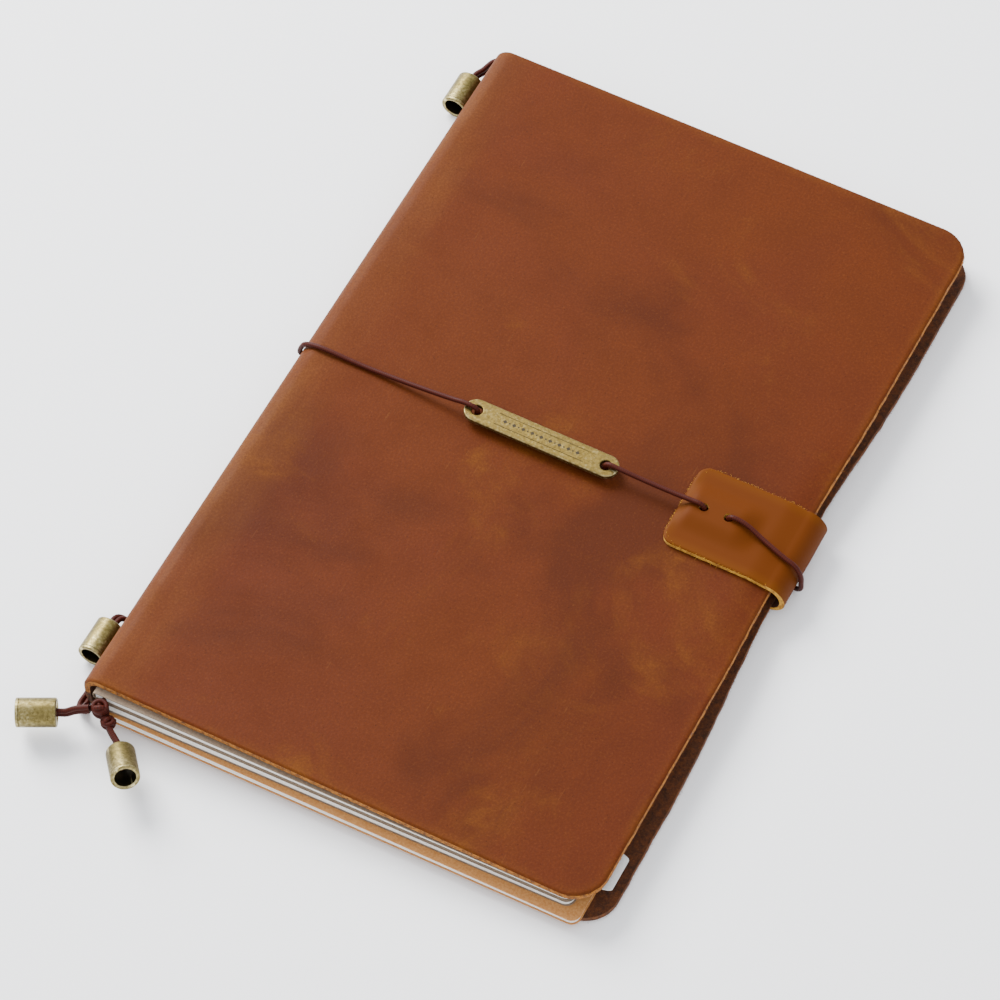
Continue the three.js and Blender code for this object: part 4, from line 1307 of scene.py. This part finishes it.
def makeTag():
    curve = bpy.data.curves.new("tagOutline", "CURVE")
    curve.dimensions = "2D"
    curve.fill_mode = "BOTH"
    curve.extrude = (closure["tagThickness"] / 2 - tag["bevel"]) * mm
    curve.bevel_depth = tag["bevel"] * mm
    curve.bevel_resolution = 3
    half, radius = closure["tagLength"] / 2, closure["tagWidth"] / 2
    inner = radius - tag["bevel"]
    straight = half - radius
    right = [(straight + inner * math.cos(a), inner * math.sin(a)) for a in angles(-90, 90, 24)]
    left = [(-straight + inner * math.cos(a), inner * math.sin(a)) for a in angles(90, 270, 24)]
    holeRadius = closure["tagHole"] / 2 + tag["bevel"]
    holes = [
        [(side * closure["tagHoleSpacing"] / 2 + holeRadius * math.cos(a), holeRadius * math.sin(a))
         for a in angles(0, -350, 35)]
        for side in (-1, 1)
    ]
    for outline in [right + left] + holes:
        spline = curve.splines.new("POLY")
        spline.points.add(len(outline) - 1)
        for point, (x, y) in zip(spline.points, outline):
            point.co = (x * mm, y * mm, 0, 1)
        spline.use_cyclic_u = True
    flat = newObject("tagFlat", curve)
    graph = bpy.context.evaluated_depsgraph_get()
    mesh = bpy.data.meshes.new_from_object(flat.evaluated_get(graph))
    bpy.data.objects.remove(flat)
    drop = cover["spineThickness"] - cover["foreThickness"]
    slope = math.atan2(drop, cover["frontLength"] - cover["bendRadius"])
    centre = toFrame(*over(tagCentre, tagLift + closure["tagThickness"] / 2))
    mesh.transform(Matrix.Translation(centre) @ Matrix.Rotation(slope, 4, "Y"))
    mesh.materials.clear()
    mesh.materials.append(tagBrass)
    mesh.shade_smooth()
    mesh.set_sharp_from_angle(angle=math.radians(50))
    body = newObject("brassTag", mesh)
    pace = Matrix.Rotation(slope, 3, "Y") @ Vector((tag["studPace"] * mm, 0, 0))
    normal = Matrix.Rotation(slope, 3, "Y") @ Vector((0, 0, closure["tagThickness"] / 2 * mm))
    pieces = [body]
    rows = (("tagStuds", tag["studs"], 4, 0.62), ("tagDots", tag["studs"] - 1, 12, 0.24))
    for name, count, sides, radius in rows:
        start = centre + normal - pace * (count - 1) / 2
        values = {"Count": count, "Start": start, "Pace": pace, "Radius": radius * mm,
                  "Depth": 0.03 * mm, "Slope": slope, "Sides": sides, "Material": darkInlay}
        pieces.append(runTree(name, bpy.data.meshes.new(name), studTree, values))
    for side in (-1, 1):
        sideStep = Vector((0, side * 1.75 * mm, 0))
        points = [centre + normal + sideStep + pace * s for s in (-4.9, 4.9)]
        values = {"Diameter": 0.16 * mm, "Relief": 0.0, "Material": darkInlay, "Step": 1 * mm, "Sides": 6}
        pieces.append(runTree(f"tagLine{side + 1}", lineMesh("line", points), cordTree, values))
    return pieces


def angles(start, end, steps):
    return [math.radians(start + (end - start) * i / steps) for i in range(steps + 1)]


# ---- beads: turned brass tubes, worn bright on their rims
bead = {"diameter": 7.5, "length": 10.3, "bore": 5.4, "cap": 2.0, "cordHole": 4.6, "groove": 0.12,
        "dents": 0.004}


def makeBead(number):
    outer, length = bead["diameter"] / 2, bead["length"]
    soft = 0.42
    profile = [(bead["cordHole"] / 2, 0.25), (bead["cordHole"] / 2 + 0.25, 0.0)]
    profile += [(outer - soft + soft * math.sin(a), soft - soft * math.cos(a)) for a in angles(0, 90, 6)]
    profile += [(outer, length * 0.35), (outer, length * 0.65)]
    profile += [(outer, length - 0.95), (outer - bead["groove"], length - 0.87), (outer, length - 0.79)]
    profile += [(outer - 0.3 + 0.3 * math.cos(a), length - 0.3 + 0.3 * math.sin(a)) for a in angles(0, 90, 5)]
    profile += [(bead["bore"] / 2 + 0.22, length), (bead["bore"] / 2 + 0.06, length - 0.08)]
    profile += [(bead["bore"] / 2, height) for height in (length - 0.3, length * 0.5, bead["cap"])]
    profile += [(bead["cordHole"] / 2, bead["cap"])]
    sides = 56
    axis = beadPlaces[number]
    along = Vector(axis[1]).normalized()
    turn = Vector((0, 0, 1)).rotation_difference(along)
    start = Vector(axis[0])
    points, faces = [], []
    random.seed(number)
    for radius, height in profile:
        for i in range(sides):
            angle = 2 * math.pi * i / sides
            place = Vector((math.cos(angle) * 2, math.sin(angle) * 2, height * 0.4 + number))
            dent = 1 + bead["dents"] * noise.noise(place)
            local = Vector((radius * dent * math.cos(angle), radius * dent * math.sin(angle), height))
            points.append(toFrame(*(start + turn @ local)))
    rings = len(profile)
    for ring in range(rings):
        for i in range(sides):
            j = (i + 1) % sides
            nextRing = (ring + 1) % rings
            faces.append((ring * sides + i, ring * sides + j, nextRing * sides + j, nextRing * sides + i))
    mesh = bpy.data.meshes.new(f"beadTube{number}")
    mesh.from_pydata(points, [], faces)
    faceOut(mesh)
    mesh.materials.append(brass)
    mesh.materials.append(shadedBoreBrass)
    # Faces inside the bore take the near-black brass: painted shade down the bore.
    for index, face in enumerate(mesh.polygons):
        ring = index // sides
        if max(profile[ring][0], profile[(ring + 1) % rings][0]) <= bead["bore"] / 2 + 0.07:
            face.material_index = 1
    mesh.shade_smooth()
    mesh.set_sharp_from_angle(angle=math.radians(50))
    return newObject(f"beadTube{number}", mesh)


knotX, knotZ = 7.2, 9.0
hangingZ = 6.9
nearKnotY = nearEnd - 3.9
farKnotY = farEnd - 1.5
lyingX, lyingZ = -4.65, 3.8
beadPlaces = {
    1: ((lyingX, farEnd - 6.8, lyingZ), (0, -1, 0)),
    2: ((lyingX, nearEnd + 21.3, lyingZ), (0, -1, 0)),
    3: ((-2.7, nearEnd - 8.6, hangingZ), (-0.893, -0.45, 0)),
    4: ((17.2, nearEnd - 11.6, hangingZ), (0.59, -0.732, 0.34)),
}
strandWays = {1: (0, 0, 1), 2: (1, 0, 0), 3: (0, 0, 1), 4: (0, 0, 1)}
strandRoutes = {
    1: [(6.0, farKnotY + 3.1, knotZ), (1.6, farEnd + 1.6, 6.2), (-1.6, farEnd + 0.6, 5),
        (-3.2, farEnd - 2.6, 4.2), (lyingX + 0.2, farEnd - 4.6, lyingZ)],
    2: [(3.8, nearKnotY + 0.2, knotZ - 1.6), (0.6, nearEnd - 2.6, 2), (-0.5, nearEnd - 0.6, 0.97),
        (-0.5, nearEnd + 3, 0.87), (-0.5, nearEnd + 19.3, 0.87), (-0.7, nearEnd + 23.7, 1.0),
        (-2.2, nearEnd + 25.5, 1.9), (lyingX + 0.4, nearEnd + 24.5, 3.3)],
    3: [(4.8, nearKnotY - 1.2, knotZ), (1.4, nearKnotY - 2.6, 8.0), (-0.7, nearEnd - 7.6, hangingZ)],
    4: [(9.0, nearKnotY - 1.4, knotZ - 1.2), (12.2, nearKnotY - 3.6, 6.6), (15.9, nearEnd - 10.0, 6.2)],
}


def makeStrands(number):
    start, along = Vector(beadPlaces[number][0]), Vector(beadPlaces[number][1]).normalized()
    route = [Vector(p) for p in strandRoutes[number]]
    route += [start, start + along * 2.5, start + along * 3.6]
    sideways = Vector(strandWays[number])
    made = []
    for side in (-0.5, 0.5):
        line = []
        for i, point in enumerate(route):
            apart = 1.6 - 0.5 * smoothStep(i, 0, len(route))
            line.append(point + sideways * side * apart)
        made.append(makeCord(f"beadCord{number}{'a' if side < 0 else 'b'}", line, 1.5, cordFinish))
    made.append(knotLump(f"beadStop{number}", start + along * 4.6, 0.95, along, 1.3))
    return made


# A small overhand knot: a trefoil drawn tight.
def knotLump(name, centre, size, axis, diameter):
    turn = Vector((0, 0, 1)).rotation_difference(Vector(axis))
    points = []
    for i in range(97):
        t = 2 * math.pi * i / 96
        x, y = math.sin(t) + 2 * math.sin(2 * t), math.cos(t) - 2 * math.cos(2 * t)
        loop = Vector((x, y, -1.1 * math.sin(3 * t)))
        points.append(Vector(centre) + turn @ (loop * size * 0.42))
    return makeCord(name, points, diameter, cordFinish, smoothed=False)


# Wraps of cord round a core, pulled tight: x and y are the half widths of each wrap.
def wrapKnot(name, centre, halfWidths, heights, tilt, diameter):
    made = []
    for lap, height in enumerate(heights):
        loop = []
        lean = tilt * (1 if lap % 2 else -1)
        for i in range(49):
            t = 2 * math.pi * i / 48
            x, y = halfWidths[0] * math.cos(t), halfWidths[1] * math.sin(t)
            loop.append(Vector(centre) + Vector((x, y, height + lean * math.cos(t + lap))))
        made.append(makeCord(f"{name}{lap}", loop, diameter, cordFinish, smoothed=False))
    return made


def makeSpineKnots():
    near, far = [], []
    for made, y, side in ((near, nearKnotY, "Near"), (far, farKnotY, "Far")):
        centre = Vector((knotX, y, knotZ))
        made.append(knotLump("knotCore" + side, centre, 1.6, (0.3, 0.9, 0.25), 1.4))
        made += wrapKnot("knotWrap" + side, centre, (1.7, 1.5), (-1.1, 0.1, 1.2), 0.35, 1.25)
    lower = (knotX + 3.0, nearKnotY - 1.7, knotZ - 1.6)
    near.append(knotLump("knotSecond", lower, 1.25, (0.55, -0.7, -0.3), 1.35))
    near += wrapKnot("knotSecondWrap", lower, (1.35, 1.3), (-0.6, 0.6), 0.4, 1.2)
    return near, far


# ---- insert elastics: the stretches that show between each booklet and the knots
def makeInsertElastic(number):
    size = insertBox[number]
    low, high = insertBounds(number, 0)
    x = size["fold"] + 2.3
    z = (low(x, nearEnd) + high(x, nearEnd)) / 2
    meet = knotZ + (2 - number) * 1.3
    nearRoute = [(x, nearKnotY + 1.0, meet), (x, size["near"] - 1.0, z + (meet - z) * 0.35),
                 (x, size["near"] + 0.5, z), (x, size["near"] + 7, z)]
    farRoute = [(x, size["far"] - 7, z), (x, size["far"] + 0.6, z), (x, farKnotY - 1.6, meet)]
    middleRoute = [(x, size["near"] + 6, z), (x, 0, z), (x, size["far"] - 6, z)]
    made = {}
    for part, route in (("Near", nearRoute), ("Middle", middleRoute), ("Far", farRoute)):
        made[part] = makeCord(f"insertElastic{number}{part}", route, 1.2, insertCordFinish, relief=0.03)
    return made


# ---- loose fibres along the cut edges
fibre = {"length": 0.5, "thickness": 0.045, "depth": 0.75}


def edgeLine(length, pullAt, zAt, corner, near, far):
    points = []
    for y in rowsFor(near, far, corner, 60):
        edge = foreEdge(y, near, far, length, corner)
        pull = pullAt(y)
        points.append(toFrame(edge - pull + 0.1, y, zAt(edge - pull, y)))
    start = [toFrame(x, near - 0.05, zAt(x, near)) for x in range(6, int(length - corner), 4)]
    end = [toFrame(x, far + 0.05, zAt(x, far)) for x in range(6, int(length - corner), 4)]
    return start + points + end[::-1]


def makeFibres():
    corner = cover["corner"]
    frontLine = edgeLine(cover["frontLength"], lambda y: edgePull(y, True), lambda x, y: frontTop(x, y) - 1.0,
                         corner, nearEnd, farEnd)
    backLine = edgeLine(cover["backLength"], lambda y: edgePull(y, False), lambda x, y: raised(x, y, 1.0),
                        corner, nearEnd, farEnd)
    near, far = closure["y"] - closure["strapWidth"] / 2, closure["y"] + closure["strapWidth"] / 2
    strapLine = [toFrame(x, near - 0.05, strapUnderside(x, near) + 0.7) for x in range(140, 113, -1)]
    for y in (near + 3.5, 2, far - 3.5):
        strapLine.append(toFrame(strapStart, y, strapUnderside(strapStart, y) + 0.7))
    strapLine += [toFrame(x, far + 0.05, strapUnderside(x, far) + 0.7) for x in range(114, 141)]
    made = []
    for name, line, count, material in (("frontFibres", frontLine, 3600, rawEdge),
                                        ("backFibres", backLine, 2600, shadedBackRawEdge),
                                        ("strapFibres", strapLine, 800, strapRawEdge)):
        values = {"Count": count, "Length": fibre["length"] * mm, "Thickness": fibre["thickness"] * mm,
                  "Depth": fibre["depth"] * mm, "Material": material}
        made.append(runTree(name, lineMesh(name + "Line", line), fibreTree, values))
    return made


# ---- build
makeCamera()
makeLight("window", lights["window"])
makeLight("fill", lights["fill"])
makeSky()

floorMesh = bpy.data.meshes.new("floor")
floorMesh.from_pydata([(-3, -3, 0), (3, -3, 0), (3, 3, 0), (-3, 3, 0)], [], [(0, 1, 2, 3)])
floorMesh.materials.append(makeFloorMaterial())
newObject("floor", floorMesh)

hideUpper = makeHide(True)
hideLower = makeHide(False)
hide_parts("front_cover")
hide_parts("back_cover", "spine_leather")
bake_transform(hideUpper)
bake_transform(hideLower)
print("hide ready")

for number in range(1, stack["count"] + 1):
    body = f"insert_{number}"
    kraftPiece = makeKraftCover(number)
    pagesPiece = makePages(number)
    settle(kraftPiece, number)
    settle(pagesPiece, number)
    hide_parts(f"insert_{number}_cover")
    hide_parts(f"insert_{number}_pages")
    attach(kraftPiece, body)
    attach(pagesPiece, body)
    elastic = makeInsertElastic(number)
    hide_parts(f"insert_elastic_{number}")
    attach(elastic["Middle"], body)
    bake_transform(elastic["Near"])
    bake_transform(elastic["Far"])
print("inserts ready")

divider = makeDivider()
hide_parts("index_divider")
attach(divider, "divider")
pocket = makePocket()
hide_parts("clear_pocket")
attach(pocket, "insert_1")

spineUp = makeCord("closureSpineUp", spineUpRoute, closure["cord"], cordFinish)
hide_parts("closure_cord_spine_up")
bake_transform(spineUp)
spineDown = makeCord("closureSpineDown", spineDownRoute, closure["cord"], cordFinish)
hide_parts("closure_cord_spine_down")
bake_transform(spineDown)
toTag = makeCord("closureToTag", toTagRoute, closure["cord"], cordFinish)
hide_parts("closure_cord_tag")
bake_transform(toTag)
toStrap = makeCord("closureToStrap", toStrapRoute, closure["cord"], cordFinish)
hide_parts("closure_cord_strap")
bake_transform(toStrap)
under = makeCord("closureUnder", underRoute, closure["cord"] * 0.97, cordFinish)
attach(under, "back")
around = makeCord("closureAround", aroundRoute, closure["cord"], cordFinish)
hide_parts("closure_cord_under")
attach(around, "strap")
strap = makeStrap()
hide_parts("closure_strap")
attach(strap, "strap")
foldAnchor = toFrame(125, 2, frontTop(125, 2) + 3.4)
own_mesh(strap)
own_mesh(around)
print("closure ready")

for piece in makeTag():
    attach(piece, "tag")
    if piece.name == "brassTag":
        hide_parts("brass_tag")

for number in beadPlaces:
    body = f"bead_{number}"
    tube = makeBead(number)
    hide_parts(body)
    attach(tube, body)
    for piece in makeStrands(number):
        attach(piece, body)
        if piece.name.startswith("beadCord") and piece.name.endswith("a"):
            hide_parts(f"bead_{number}_strands")

nearKnot, farKnot = makeSpineKnots()
for pieces, node in ((nearKnot, "spine_knot_near"), (farKnot, "spine_knot_far")):
    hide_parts(node)
    for piece in pieces:
        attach(piece, "back")
closureKnot = knotLump("closureKnot", (3.4, 2, holeZ), 1.0, (1, 0, 0), 1.3)
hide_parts("closure_knot")
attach(closureKnot, "spine")
print("beads and knots ready")

frontFibres, backFibres, strapFibres = makeFibres()
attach(frontFibres, "front")
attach(backFibres, "back")
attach(strapFibres, "strap")
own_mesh(strapFibres)
print("fibres ready")
